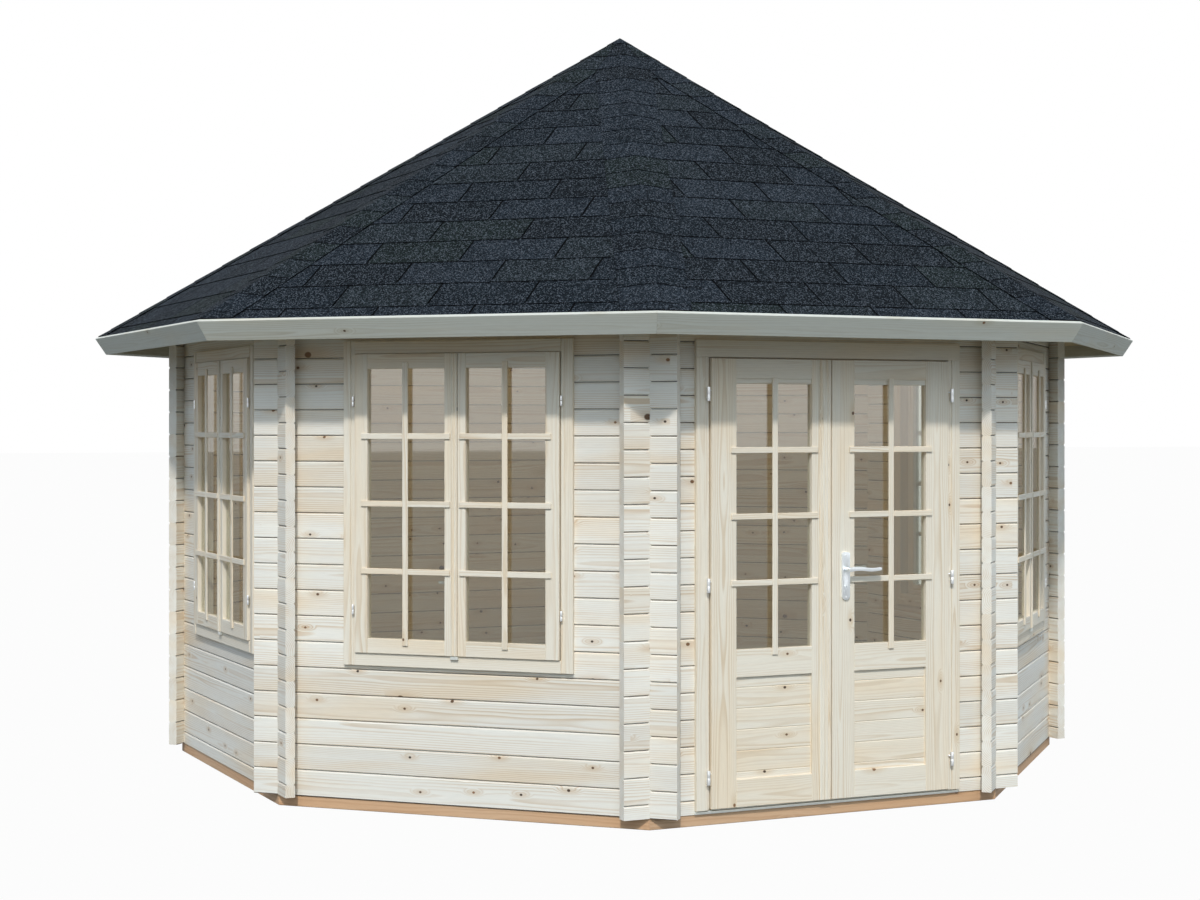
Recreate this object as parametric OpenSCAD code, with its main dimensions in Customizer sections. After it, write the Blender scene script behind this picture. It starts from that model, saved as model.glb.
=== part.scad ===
// Octagonal garden gazebo of interlocking logs, with a double door, four windows and a shingled roof.
// Millimetres, +Z up, origin on the ground at the centre, the double door towards -Y.
// The eight faces are numbered anticlockwise seen from above, and face 0 holds the door.
// On a face, t runs to the right as seen from outside, out runs outwards from the wall's outer plane,
// and z runs up from the underside of the wall, which is the top of the base frame.

/* [Walls] */
// Distance from the centre to the outer plane of each wall
wall_apothem = 2120; // [1980:10:2400]
// Thickness of the logs
wall_t = 44; // [36:2:58]
// Height of one log course
log_h = 114.5; // [108:0.5:124]
// Full log courses in a wall, each wall having half a log more
courses = 20; // [20:1:23]
// Length of the log ends past the outer corner
stub_l = 120; // [80:5:150]
// Depth of the V groove between two courses
groove_d = 6.5; // [2:0.5:8]
// Play of the notches where logs cross at a corner
notch_play = 0.3; // [0.2:0.1:1]

/* [Base and floor] */
// Height of the base beams
base_h = 50; // [40:5:80]
// Width of the base beams
base_w = 70; // [55:5:100]
// Setback of the base beams behind the outer plane of the walls
base_setback = 5; // [0:1:16]
// Width of a floor joist
joist_w = 45; // [35:5:70]
// Joists under the floor
joists = 7; // [5:1:9]
// Thickness of the floor boards
floor_t = 18; // [15:1:24]

/* [Roof] */
// Slope of the roof
roof_pitch = 32.1; // [28:0.1:36]
// Horizontal reach of the roof past the walls
eaves = 411; // [300:5:460]
// Depth that the roof slope takes off the outer top edge of the walls
wall_bevel = 21.25; // [6:0.25:30]
// Thickness of the roof boards
board_t = 19; // [16:1:24]
// Thickness of the shingle covering
shingle_t = 8; // [5:1:12]
// Thickness of the hip caps on top of the shingles
cap_t = 4; // [3:1:8]
// Half the width of a hip cap, measured level
cap_half_w = 145; // [100:5:180]
// Thickness of the fascia boards
fascia_t = 18; // [15:1:24]
// Width of the fascia boards, square to the slope
fascia_w = 98; // [85:1:130]
// Width of a hip rafter
rafter_w = 45; // [35:5:60]
// Depth of a hip rafter
rafter_h = 68; // [60:2:80]
// Width across the flats of the king block under the peak
king_w = 190; // [160:10:240]
// Length of the king block below the roof boards
king_h = 200; // [160:10:300]

/* [Door] */
// Half the width over both door leaves
door_half_w = 600; // [560:5:640]
// Height of the underside of the leaves
leaf_low = 22; // [20:1:30]
// Distance from the top of the wall down to the top of the leaves
leaf_drop = 412.25; // [380:0.25:440]
// Thickness of the leaves
leaf_t = 40; // [38:1:44]
// Distance by which the leaves stand proud of the wall
leaf_proud = 30; // [26:1:34]
// Middle of the gap between the leaves
meet_t = -10; // [-14:1:-8]
// Gap between the leaves
meet_gap = 8; // [7:0.5:10]
// Width of the stiles on the hinge side
stile_w = 120; // [100:2:130]
// Distance from the middle of the door to the glass
door_glass_t = 108; // [98:2:120]
// Height of the underside of the door glass
door_glass_low = 693; // [660:5:740]
// Height of the top rail of a leaf
top_rail_h = 107; // [90:1:130]
// Height of the middle rail of a leaf
mid_rail_h = 118; // [90:2:150]
// Height of the top of the bottom rail
bottom_rail_top = 140; // [120:2:180]
// Depth of the boarded panel behind the leaf's face
panel_recess = 12; // [8:1:16]
// Thickness of the boarded panel
panel_t = 18; // [12:1:20]
// Height of one panel board
panel_board_h = 90; // [70:5:110]
// Depth of the groove between panel boards
panel_groove = 3; // [1.5:0.5:5]
// Height of the aluminium threshold
threshold_h = 16; // [12:1:17]
// Distance by which the threshold stands proud of the wall
threshold_proud = 6; // [5:1:14]

/* [Windows] */
// Half the width over both sashes
sash_half_w = 484; // [440:4:500]
// Height of the underside of the sashes
sash_low = 651; // [620:1:700]
// Distance from the top of the wall down to the top of the sashes
sash_drop = 384.25; // [350:0.25:430]
// Width of the outer stiles and the rails of a sash
sash_rail_w = 65; // [50:1:75]
// Distance from the middle of the window to the glass
sash_glass_t = 50; // [44:1:60]
// Line where the two sashes meet
sash_meet_t = 11; // [0:1:14]
// Thickness of the sashes
sash_t = 40; // [34:1:44]
// Gap round the sashes
sash_gap = 1.5; // [1:0.5:3]

/* [Joinery] */
// Width of the trim boards beside a door or window
trim_w = 62; // [54:1:70]
// Width of the trim boards round a window
window_trim_w = 55; // [45:1:65]
// Distance by which the trims stand proud of the logs, inside and out
trim_proud = 20; // [16:1:23]
// Thickness of the frame lining in the wall opening
lining_t = 14; // [10:1:20]
// Overlap of the trim over the logs above the door
trim_lap = 10; // [6:1:20]
// Overlap of the stop behind a leaf or a sash
stop_lap = 12; // [8:1:18]
// Gap round the door leaves
leaf_gap = 5.5; // [5:0.5:7]
// Width of a glazing bar
bar_w = 26; // [20:1:32]
// Thickness of a glazing bar
bar_t = 8; // [5:1:12]
// Lap of the glazing bars over the stiles and rails
bar_lap = 28; // [15:1:32]
// Rows of panes in a leaf or sash
pane_rows = 4; // [3:1:5]
// Thickness of the glass
glass_t = 4; // [3:1:6]
// Depth of the groove that holds the glass
glass_bite = 8; // [6:1:12]
// Width of the cover strip where leaves or sashes meet
strip_w = 56; // [40:1:70]
// Width of the cover strip on a window sash
sash_strip_w = 28; // [20:1:40]
// Thickness of the cover strips
strip_t = 6; // [4:1:8]

/* [Hinges and handle] */
// Distance of the hinge pins outside the leaves' edges
pin_offset = 17; // [15:0.5:18]
// Distance of the hinge pins in front of the wall
pin_out = 33; // [31:0.5:35]
// Radius of a hinge sleeve
sleeve_r = 8; // [7:0.5:9]
// Length of one of the two sleeves of a hinge
sleeve_l = 30; // [24:1:36]
// Radius of a hinge pin
pin_r = 4; // [3.5:0.25:5]
// Play between a pin and its bore
pin_play = 0.05; // [0.03:0.01:0.1]
// Radius of the screw shanks of the hinges
shank_r = 3; // [2.5:0.25:3.5]
// Height of the lowest hinge
hinge_low = 157; // [140:5:200]
// Height of the middle hinge
hinge_mid = 971; // [900:5:1040]
// Distance from the top of the leaves down to the highest hinge
hinge_drop = 152; // [130:2:220]
// Distance of the handle from the middle of the door
handle_t = 60; // [50:1:64]
// Height of the lever's axis
lever_z = 1022; // [980:2:1060]
// Length of the lever
lever_l = 158; // [110:2:170]
// Width of a handle plate
plate_w = 40; // [34:1:44]
// Height of a handle plate
plate_h = 209; // [180:1:230]
// Thickness of a handle plate
plate_t = 8; // [5:1:10]
// Distance from the lever's axis to the top of its plate
plate_top = 75; // [50:1:90]
// Distance from the lever's axis down to the lock cylinder
lock_drop = 77; // [65:1:92]
// Radius of the lever's neck
neck_r = 9; // [8:0.5:11]
// Clear depth behind the lever
grip_clear = 30; // [26:1:36]

/* [Hidden] */
$fn = 48;

// The octagon
sides = 8;
turn = 360 / sides;
half_turn = turn / 2;
corner_t = wall_apothem * tan(half_turn);
wall_in = wall_apothem - wall_t;
// Half the length of a wall with its log ends
wall_half_l = corner_t + stub_l;

// Seats and fits
seat = 0.2;
mitre_gap = 0.25;
fit = 0.3;
over = 1;

// Walls
wall_h = (courses + 0.5) * log_h;
band_h = log_h / 2;
notch_reach = 2 * wall_t + stub_l;

// Roof: every layer is measured square to the slope, down from the top of the shingles
under_roof = shingle_t + board_t;
apex_z = base_h + wall_h - wall_bevel + tan(roof_pitch) * wall_apothem
    + (under_roof + seat) / cos(roof_pitch);
eaves_apothem = wall_apothem + eaves;
slope_l = eaves_apothem / cos(roof_pitch);
hip_pitch = atan(tan(roof_pitch) * cos(half_turn));
// Radius at which a rafter ends, short of the lower inner edge of the fascia
rafter_end_r = ((slope_l - fascia_t) * cos(roof_pitch) - fascia_w * sin(roof_pitch)) / cos(half_turn)
    - rafter_w;
sector_r = 2 * eaves_apothem;

// Door
leaf_high = wall_h - leaf_drop;
meet_left = meet_t - meet_gap / 2;
meet_right = meet_t + meet_gap / 2;
door_glass_side = door_half_w - stile_w;
door_glass_high = leaf_high - top_rail_h;
mid_rail_low = door_glass_low - mid_rail_h;
door_frame_in = door_half_w + leaf_gap;
door_open_half = door_frame_in + lining_t;
door_trim_out = door_frame_in + trim_w;
door_head_in = leaf_high + leaf_gap;
// The side walls of the door end, and the lintel starts, at the first course line over the frame
split_z = (ceil((door_head_in + lining_t) / log_h - 0.5) + 0.5) * log_h;
leaf_back = leaf_proud - leaf_t;
stop_out = leaf_back - leaf_gap;
inside_out = -wall_t - trim_proud;
floor_z = floor_t;
floor_gap = 2;
floor_apothem = wall_in - floor_gap;

// Windows
sash_high = wall_h - sash_drop;
sash_back = leaf_proud - sash_t;
sash_glass_side = sash_half_w - sash_rail_w;
sash_glass_low = sash_low + sash_rail_w;
sash_glass_high = sash_high - sash_rail_w;
window_frame_in = sash_half_w + sash_gap;
window_frame_low = sash_low - sash_gap;
window_frame_high = sash_high + sash_gap;
sash_stop_out = sash_back - fit;

// Glass stands in the middle of its leaf
glass_out = leaf_proud - leaf_t / 2 - glass_t / 2;

// Hinges and handle
pin_t = door_half_w + pin_offset;
shank_in = 35;
shank_cover = 2.5;
shank_rise = leaf_proud - shank_cover * shank_r;
pin_short = 2;
hinge_heights = [hinge_low, hinge_mid, leaf_high - hinge_drop];
spindle_r = 5;
spindle_play = 1;
lever_w = 18;
lever_t = 12;
lever_taper = 2;
lever_wave = 3;
lever_steps = 14;
lock_r = 8.5;
lock_tail_w = 10;
lock_tail_l = 24;
lock_stand = 3;

// Places a shape that was drawn on face 0 onto face k
module on_face(k) {
    rotate([0, 0, turn * k])
        children();
}

// A block given by its limits along t, out and z, on face 0
module block(t0, t1, out0, out1, z0, z1) {
    translate([t0, -wall_apothem - out1, base_h + z0])
        cube([t1 - t0, out1 - out0, z1 - z0]);
}

// A cylinder along z on face 0
module post(t, out, z0, z1, r) {
    translate([t, -wall_apothem - out, base_h + z0])
        cylinder(r = r, h = z1 - z0);
}

// A shape drawn in t and z, given a thickness from out0 to out1
module plate(out0, out1) {
    translate([0, -wall_apothem - out0, base_h])
        rotate([90, 0, 0])
            linear_extrude(out1 - out0)
                children();
}

// A rectangle in t and z
module panel_shape(t0, t1, z0, z1) {
    translate([t0, z0])
        square([t1 - t0, z1 - z0]);
}

// A level octagon with two sides square to the Y axis
module octagon(apothem) {
    rotate(half_turn)
        circle(r = apothem / cos(half_turn), $fn = sides);
}

// The share of the plan that belongs to face 0, kept clear of its neighbours by gap
module sector(gap) {
    reach = sector_r * tan(half_turn);
    linear_extrude(2 * apex_z)
        translate([0, -gap / sin(half_turn)])
            polygon([[0, 0], [-reach, -sector_r], [reach, -sector_r]]);
}

// A layer of the roof on face 0, from high to low below the top of the shingles
module roof_layer(high, low, from_s, to_s) {
    translate([0, 0, apex_z])
        rotate([roof_pitch, 0, 0])
            translate([-sector_r, -to_s, -low])
                cube([2 * sector_r, to_s - from_s, low - high]);
}

// All that lies above a plane parallel to the slope of face 0
module above_slope(drop) {
    roof_layer(-sector_r, drop, -sector_r, sector_r);
}

// The body of a hip rafter on the hip between face 0 and face 1, wider by play on each side
module rafter_bar(play) {
    rotate([0, 0, half_turn])
        translate([0, 0, apex_z - (under_roof + seat) / cos(roof_pitch)])
            rotate([hip_pitch, 0, 0])
                translate([-rafter_w / 2 - play, -sector_r, -rafter_h - play])
                    cube([rafter_w + 2 * play, sector_r, rafter_h + play + over]);
}

// Outline of a wall in section: logs with V grooves at the course lines, on both sides. Where the
// wall starts or ends on a course line, half of the groove is left as a chamfer.
module log_profile(first, low, high) {
    difference() {
        translate([-wall_t, low])
            square([wall_t, high - low]);
        for (z = [first:log_h:high + groove_d], out = [-wall_t, 0])
            if (z > low - groove_d)
                translate([out, z])
                    rotate(45)
                        square(sqrt(2) * groove_d, center = true);
    }
}

// Logs of face 0 from t0 to t1, first being the height of the lowest course line
module logs(t0, t1, first, low, high) {
    translate([t0, -wall_apothem, base_h])
        rotate([90, 0, 90])
            mirror([1, 0])
                linear_extrude(t1 - t0)
                    log_profile(first, low, high);
}

// The notches that one end of a wall gets for its neighbour's logs, side being -1 or 1
module notches(first_band, side) {
    rotate([0, 0, side * turn])
        translate([0, -wall_apothem - notch_play, base_h])
            rotate([-90, 0, 0])
                linear_extrude(wall_t + 2 * notch_play)
                    for (i = [0:courses])
                        translate([-side * corner_t - notch_reach,
                            -first_band - i * log_h - band_h / 2 - notch_play])
                            square([2 * notch_reach, band_h + 2 * notch_play]);
}

// A log wall of face k. Courses of odd and even faces are half a log apart, and where two walls
// cross, each log keeps the middle half of its height and so locks the logs of the other wall.
module log_wall(k, t0, t1, low, high) {
    odd = k % 2 == 1;
    on_face(k)
        difference() {
            logs(t0, t1, odd ? log_h : band_h, low, high);
            for (side = [-1, 1])
                notches(odd ? 0 : band_h, side);
            for (side = [-1:1])
                rotate([0, 0, side * turn])
                    above_slope(under_roof + seat);
            for (side = [0, -1])
                rotate([0, 0, side * turn])
                    rafter_bar(notch_play);
            children();
        }
}

// The opening that a window frame fills
module window_opening() {
    half = window_frame_in + lining_t;
    block(-half, half, -wall_t - over, over, window_frame_low - lining_t, window_frame_high + lining_t);
}

// A wall with a window in its middle
module window_wall(k) {
    log_wall(k, -wall_half_l, wall_half_l, 0, wall_h)
        window_opening();
}

// A plain wall
module plain_wall(k) {
    log_wall(k, -wall_half_l, wall_half_l, 0, wall_h);
}

// Mitred base beams of pressure-treated wood
module base_frame() {
    color("peru")
        for (k = [0:sides - 1])
            on_face(k)
                intersection() {
                    translate([-sector_r, -wall_apothem + base_setback, 0])
                        cube([2 * sector_r, base_w, base_h]);
                    sector(mitre_gap);
                }
}

// Joists laid on the ground inside the base frame
module floor_joists() {
    inside = wall_apothem - base_setback - base_w - fit;
    pitch = 2 * inside / joists;
    color("tan")
        intersection() {
            linear_extrude(base_h)
                octagon(inside);
            for (i = [0:joists - 1])
                translate([-wall_apothem, -inside + (i + 0.5) * pitch - joist_w / 2, 0])
                    cube([2 * wall_apothem, joist_w, base_h]);
        }
}

// Floor on the joists and on the inner edge of the base beams
module floor_boards() {
    color("burlywood")
        translate([0, 0, base_h])
            linear_extrude(floor_t)
                octagon(floor_apothem);
}

// Log wall on the left of the door, up to the first course line over the frame
module door_wall_left() {
    color("wheat")
        log_wall(0, -wall_half_l, -door_open_half, 0, split_z);
}

// Log wall on the right of the door
module door_wall_right() {
    color("wheat")
        log_wall(0, door_open_half, wall_half_l, 0, split_z);
}

// Full-length logs over the door
module door_wall_lintel() {
    color("wheat")
        log_wall(0, -wall_half_l, wall_half_l, split_z, wall_h);
}

module front_right_wall() {
    color("wheat")
        window_wall(1);
}

module right_wall() {
    color("wheat")
        window_wall(2);
}

module back_right_wall() {
    color("wheat")
        plain_wall(3);
}

module back_wall() {
    color("wheat")
        plain_wall(4);
}

module back_left_wall() {
    color("wheat")
        plain_wall(5);
}

module left_wall() {
    color("wheat")
        window_wall(6);
}

module front_left_wall() {
    color("wheat")
        window_wall(7);
}

// Eight-sided block that the inner ends of the rafters bear on
module king_block() {
    top = apex_z - (under_roof + seat) / cos(roof_pitch);
    color("burlywood")
        difference() {
            translate([0, 0, top - king_h])
                rotate([0, 0, half_turn])
                    linear_extrude(king_h)
                        octagon(king_w / 2);
            for (k = [0:sides - 1])
                on_face(k)
                    above_slope(under_roof + seat);
        }
}

// Hip rafters, bevelled on top to both slopes and let into the wall corners
module rafters() {
    color("burlywood")
        for (k = [0:sides - 1])
            on_face(k)
                difference() {
                    intersection() {
                        rafter_bar(0);
                        rotate([0, 0, half_turn])
                            translate([-rafter_w, -rafter_end_r, 0])
                                cube([2 * rafter_w, rafter_end_r - king_w / 2 - fit, apex_z]);
                    }
                    for (side = [0, 1])
                        on_face(side)
                            above_slope(under_roof + seat);
                }
}

// Boarding of the eight slopes
module roof_boards() {
    color("tan")
        for (k = [0:sides - 1])
            on_face(k)
                intersection() {
                    roof_layer(shingle_t, under_roof, 0, slope_l - fascia_t - fit);
                    sector(mitre_gap);
                }
}

// Fascia boards square to the slope, mitred at the corners
module fascia_boards() {
    color("wheat")
        for (k = [0:sides - 1])
            on_face(k)
                intersection() {
                    roof_layer(0, fascia_w, slope_l - fascia_t, slope_l);
                    sector(mitre_gap);
                }
}

// Shingle covering of the eight slopes
module roof_shingles() {
    color("darkslategray")
        for (k = [0:sides - 1])
            on_face(k)
                intersection() {
                    roof_layer(0, shingle_t, 0, slope_l - fascia_t - fit);
                    sector(mitre_gap);
                }
}

// All that lies under two planes over the slopes of face 0 and face 1, down to to_s on both slopes
module under_slopes(high, to_s) {
    intersection() {
        roof_layer(high, sector_r, -sector_r, to_s);
        on_face(1)
            roof_layer(high, sector_r, -sector_r, to_s);
    }
}

// Folded caps over the hips, cut off at the peak along the middles of the slopes
module hip_caps() {
    color("dimgray")
        for (k = [0:sides - 1])
            on_face(k)
                difference() {
                    intersection() {
                        under_slopes(-cap_t, slope_l - fascia_t - fit);
                        rotate([0, 0, half_turn])
                            sector(mitre_gap);
                        rotate([0, 0, half_turn])
                            translate([-cap_half_w, -sector_r, 0])
                                cube([2 * cap_half_w, sector_r, 2 * apex_z]);
                    }
                    under_slopes(0, sector_r);
                }
}

// A frame board all round: inner and outer half widths, lows and highs, over a depth
module surround(half_in, half_out, low_in, low_out, high_in, high_out, out0, out1) {
    plate(out0, out1)
        difference() {
            panel_shape(-half_out, half_out, low_out, high_out);
            panel_shape(-half_in, half_in, low_in, high_in);
        }
}

// Door frame: lining, stops, and trims inside and outside
module door_frame() {
    lining_out = door_open_half - fit;
    trim_high = split_z + trim_lap;
    stop_in = door_half_w - stop_lap;
    stop_high = leaf_high - stop_lap;
    color("wheat")
        difference() {
            union() {
                surround(door_frame_in, door_trim_out, -over, threshold_h, door_head_in, trim_high,
                    fit, trim_proud);
                surround(door_frame_in, lining_out, -over, 0, door_head_in, split_z - fit, -wall_t, fit);
                surround(stop_in, lining_out, -over, floor_z + fit, stop_high, split_z - fit,
                    inside_out, stop_out);
                surround(stop_in, door_trim_out, -over, floor_z + fit, stop_high, trim_high,
                    inside_out, -wall_t - fit);
            }
            frame_shanks(fit);
        }
}

// A bar along the door, given by half its length and its section in out and z
module sill_bar(half) {
    translate([-half, -wall_apothem, base_h])
        rotate([90, 0, 90])
            mirror([1, 0])
                linear_extrude(2 * half)
                    children();
}

// Hollow aluminium sill between the jambs with two wear ribs on top, and with a nose that runs on
// under the trims beside the door
module threshold() {
    wall = 2.5;
    rib = 2;
    rib_w = 4;
    top = threshold_h - rib;
    back = -wall_t + fit;
    chamber = (-back - 3 * wall) / 2;
    color("silver") {
        sill_bar(door_frame_in - fit)
            difference() {
                union() {
                    translate([back, 0])
                        square([over - back, top]);
                    for (out = [-rib_w, back])
                        translate([out, top - over])
                            square([rib_w, rib + over]);
                }
                for (i = [0, 1])
                    translate([back + wall + i * (chamber + wall), wall])
                        square([chamber, top - 2 * wall]);
            }
        sill_bar(door_trim_out)
            polygon([[2 * fit, 0], [threshold_proud, 0], [threshold_proud, top - rib_w],
                [threshold_proud - rib_w, top], [2 * fit, top]]);
    }
}

// Lattice of glazing bars over one pane of glass, lapping on the stiles and rails round it
module grille_shape(t0, t1, low, high) {
    pitch = (high - low) / pane_rows;
    middle = (t0 + t1) / 2;
    panel_shape(middle - bar_w / 2, middle + bar_w / 2, low - bar_lap, high + bar_lap);
    for (i = [1:pane_rows - 1])
        panel_shape(t0 - bar_lap, t1 + bar_lap, low + i * pitch - bar_w / 2, low + i * pitch + bar_w / 2);
}

// The groove that holds a pane, or with play of 0 the pane itself
module pane(t0, t1, low, high, play) {
    bite = glass_bite + play;
    block(t0 - bite, t1 + bite, glass_out - play, glass_out + glass_t + play, low - bite, high + bite);
}

// Wood of a door leaf from edge t0 to edge t1, with glass from g0 to g1
module leaf_body(t0, t1, g0, g1) {
    panel_out = leaf_proud - panel_recess;
    bevel = 10;
    difference() {
        plate(leaf_back, leaf_proud)
            difference() {
                panel_shape(t0, t1, leaf_low, leaf_high);
                panel_shape(g0, g1, door_glass_low, door_glass_high);
                panel_shape(g0, g1, bottom_rail_top, mid_rail_low);
            }
        pane(g0, g1, door_glass_low, door_glass_high, fit);
        // Sloping top of the bottom rail, which sheds water
        translate([g0, -wall_apothem - leaf_proud, base_h + bottom_rail_top])
            rotate([90, 0, 90])
                linear_extrude(g1 - g0)
                    polygon([[-over, over], [-over, -bevel], [0, -bevel], [bevel, 0], [bevel, over]]);
    }
    // Boarded panel, held on all sides
    translate([g0 - glass_bite, -wall_apothem - panel_out, base_h])
        rotate([90, 0, 90])
            linear_extrude(g1 - g0 + 2 * glass_bite)
                difference() {
                    translate([0, bottom_rail_top - glass_bite])
                        square([panel_t, mid_rail_low - bottom_rail_top + 2 * glass_bite]);
                    for (z = [mid_rail_low - panel_board_h / 2:-panel_board_h:bottom_rail_top])
                        polygon([[-over, z + panel_groove + over], [panel_groove, z],
                            [-over, z - panel_groove - over]]);
                }
}

// Screw shanks and pin bosses that the wood of a leaf makes room for
module hinge_shanks(side, play) {
    dt = pin_offset;
    dout = pin_out - shank_rise;
    reach = norm([dt, dout]) + shank_in;
    for (z = hinge_heights)
        translate([side * pin_t, -wall_apothem - pin_out, base_h + z + sleeve_l / 2])
            rotate([0, 0, side == 1 ? 180 - atan(dout / dt) : atan(dout / dt)])
                rotate([0, 90, 0])
                    cylinder(r = shank_r + play, h = reach + play);
}

// Cover strip with two grooves, on the left leaf or sash beside the meeting line
module cover_strip(edge, width, low, high) {
    groove = 2;
    translate([edge - width, -wall_apothem, base_h + low])
        linear_extrude(high - low)
            difference() {
                polygon([[0, 0], [0, -leaf_proud - strip_t / 2], [strip_t / 2, -leaf_proud - strip_t],
                    [width - strip_t / 2, -leaf_proud - strip_t], [width, -leaf_proud - strip_t / 2],
                    [width, 0]]);
                translate([-over, -leaf_proud])
                    square([width + 2 * over, leaf_proud + over]);
                for (share = [0.35, 0.65])
                    translate([share * width - groove / 2, -leaf_proud - strip_t - over])
                        square([groove, groove + over]);
            }
}

// The left leaf, which carries the cover strip
module left_leaf() {
    color("wheat")
        difference() {
            union() {
                leaf_body(-door_half_w, meet_left, -door_glass_side, -door_glass_t);
                cover_strip(meet_left, strip_w, leaf_low, leaf_high);
            }
            hinge_shanks(-1, fit);
        }
}

module left_leaf_grille() {
    color("wheat")
        plate(leaf_proud, leaf_proud + bar_t)
            grille_shape(-door_glass_side, -door_glass_t, door_glass_low, door_glass_high);
}

module left_leaf_glass() {
    color("lightblue", 0.4)
        pane(-door_glass_side, -door_glass_t, door_glass_low, door_glass_high, 0);
}

// The right leaf, bored for the handle's spindle and cut for the lock cylinder
module right_leaf() {
    color("wheat")
        difference() {
            leaf_body(meet_right, door_half_w, door_glass_t, door_glass_side);
            hinge_shanks(1, fit);
            translate([handle_t, -wall_apothem - leaf_back + over, base_h + lever_z])
                rotate([90, 0, 0])
                    cylinder(r = spindle_r + spindle_play, h = leaf_t + 2 * over);
            plate(leaf_back - over, leaf_proud + over)
                lock_shape(fit);
        }
}

module right_leaf_grille() {
    color("wheat")
        plate(leaf_proud, leaf_proud + bar_t)
            grille_shape(door_glass_t, door_glass_side, door_glass_low, door_glass_high);
}

module right_leaf_glass() {
    color("lightblue", 0.4)
        pane(door_glass_t, door_glass_side, door_glass_low, door_glass_high, 0);
}

// Screw shanks that hold the lower sleeves in the door frame's trim
module frame_shanks(play) {
    for (side = [-1, 1])
        for (z = hinge_heights)
            translate([side * pin_t, -wall_apothem - pin_out, base_h + z - sleeve_l / 2])
                rotate([-90, 0, 0])
                    cylinder(r = shank_r + play, h = pin_out - trim_proud / 2 + play);
}

// Lower sleeves with the hinge pins, screwed into the door frame's trim
module frame_hinges() {
    color("silver") {
        frame_shanks(0);
        for (side = [-1, 1])
            for (z = hinge_heights) {
                post(side * pin_t, pin_out, z - sleeve_l, z - seat, sleeve_r);
                post(side * pin_t, pin_out, z - seat - over, z + sleeve_l - pin_short, pin_r);
            }
    }
}

// Upper sleeves of one leaf, bored for the pins, with the shanks that are screwed into its edge
module leaf_hinges(side) {
    color("silver")
        difference() {
            union() {
                for (z = hinge_heights)
                    post(side * pin_t, pin_out, z, z + sleeve_l, sleeve_r);
                hinge_shanks(side, 0);
            }
            for (z = hinge_heights)
                post(side * pin_t, pin_out, z - over, z + sleeve_l - pin_short + seat, pin_r + pin_play);
        }
}

module left_leaf_hinges() {
    leaf_hinges(-1);
}

module right_leaf_hinges() {
    leaf_hinges(1);
}

// Outline of the lock cylinder, larger all round by play
module lock_shape(play) {
    z = lever_z - lock_drop;
    translate([handle_t, z])
        circle(r = lock_r + play);
    panel_shape(handle_t - lock_tail_w / 2 - play, handle_t + lock_tail_w / 2 + play,
        z - lock_tail_l - play, z);
}

// Outline of a handle plate: round below, flatter above
module plate_shape() {
    top = lever_z + plate_top;
    low = top - plate_h;
    round_r = plate_w / 2;
    translate([handle_t, low + round_r])
        circle(r = round_r);
    panel_shape(handle_t - round_r, handle_t + round_r, low + round_r, top - round_r);
    intersection() {
        panel_shape(handle_t - round_r, handle_t + round_r, top - 2 * round_r, top);
        translate([handle_t, top - plate_w])
            circle(r = plate_w);
    }
}

// Both plates of the handle, held together through the leaf by the lock cylinder
module handle_plates() {
    outer = leaf_proud + seat;
    inner = leaf_back - seat;
    color("silver") {
        difference() {
            union() {
                plate(outer, outer + plate_t)
                    plate_shape();
                plate(inner - plate_t, inner)
                    plate_shape();
            }
            translate([handle_t, -wall_apothem - inner + plate_t + over, base_h + lever_z])
                rotate([90, 0, 0])
                    cylinder(r = neck_r + pin_play, h = leaf_t + 2 * (plate_t + seat + over));
        }
        plate(inner - plate_t - lock_stand, outer + plate_t + lock_stand)
            lock_shape(0);
    }
}

// Outline of the lever: a slow wave that narrows towards its round end
module lever_shape() {
    tip_r = lever_w / 2 - lever_taper;
    run = lever_l - tip_r;
    upper = [for (i = [0:lever_steps])
        let (u = i / lever_steps)
        [handle_t + u * run, lever_z + lever_wave * sin(360 * u) + lever_w / 2 - lever_taper * u]];
    lower = [for (i = [lever_steps:-1:0])
        let (u = i / lever_steps)
        [handle_t + u * run, lever_z + lever_wave * sin(360 * u) - lever_w / 2 + lever_taper * u]];
    polygon(concat(upper, lower));
    translate([handle_t + run, lever_z])
        circle(r = tip_r);
    translate([handle_t, lever_z])
        circle(r = lever_w / 2);
}

// Levers inside and outside on one spindle
module handle_lever() {
    outer = leaf_proud + seat + plate_t + grip_clear;
    inner = leaf_back - seat - plate_t - grip_clear;
    color("silver") {
        plate(outer, outer + lever_t)
            lever_shape();
        plate(inner - lever_t, inner)
            lever_shape();
        plate(inner, outer)
            translate([handle_t, lever_z])
                circle(r = spindle_r);
        plate(leaf_proud + seat, outer)
            translate([handle_t, lever_z])
                circle(r = neck_r);
        plate(inner, leaf_back - seat)
            translate([handle_t, lever_z])
                circle(r = neck_r);
    }
}

// Window frame in the wall: lining, stops, and trims inside and outside
module window_frame(k) {
    lining_w = lining_t - fit;
    half_open = window_frame_in + lining_w;
    low_open = window_frame_low - lining_w;
    high_open = window_frame_high + lining_w;
    half_trim = window_frame_in + window_trim_w;
    low_trim = window_frame_low - window_trim_w;
    high_trim = window_frame_high + window_trim_w;
    half_stop = sash_half_w - stop_lap;
    low_stop = sash_low + stop_lap;
    high_stop = sash_high - stop_lap;
    color("wheat")
        on_face(k) {
            surround(window_frame_in, half_trim, window_frame_low, low_trim,
                window_frame_high, high_trim, fit, trim_proud);
            surround(window_frame_in, half_open, window_frame_low, low_open,
                window_frame_high, high_open, -wall_t, fit);
            surround(half_stop, half_open, low_stop, low_open, high_stop, high_open,
                inside_out, sash_stop_out);
            surround(half_stop, half_trim, low_stop, low_trim, high_stop, high_trim,
                inside_out, -wall_t - fit);
        }
}

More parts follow.
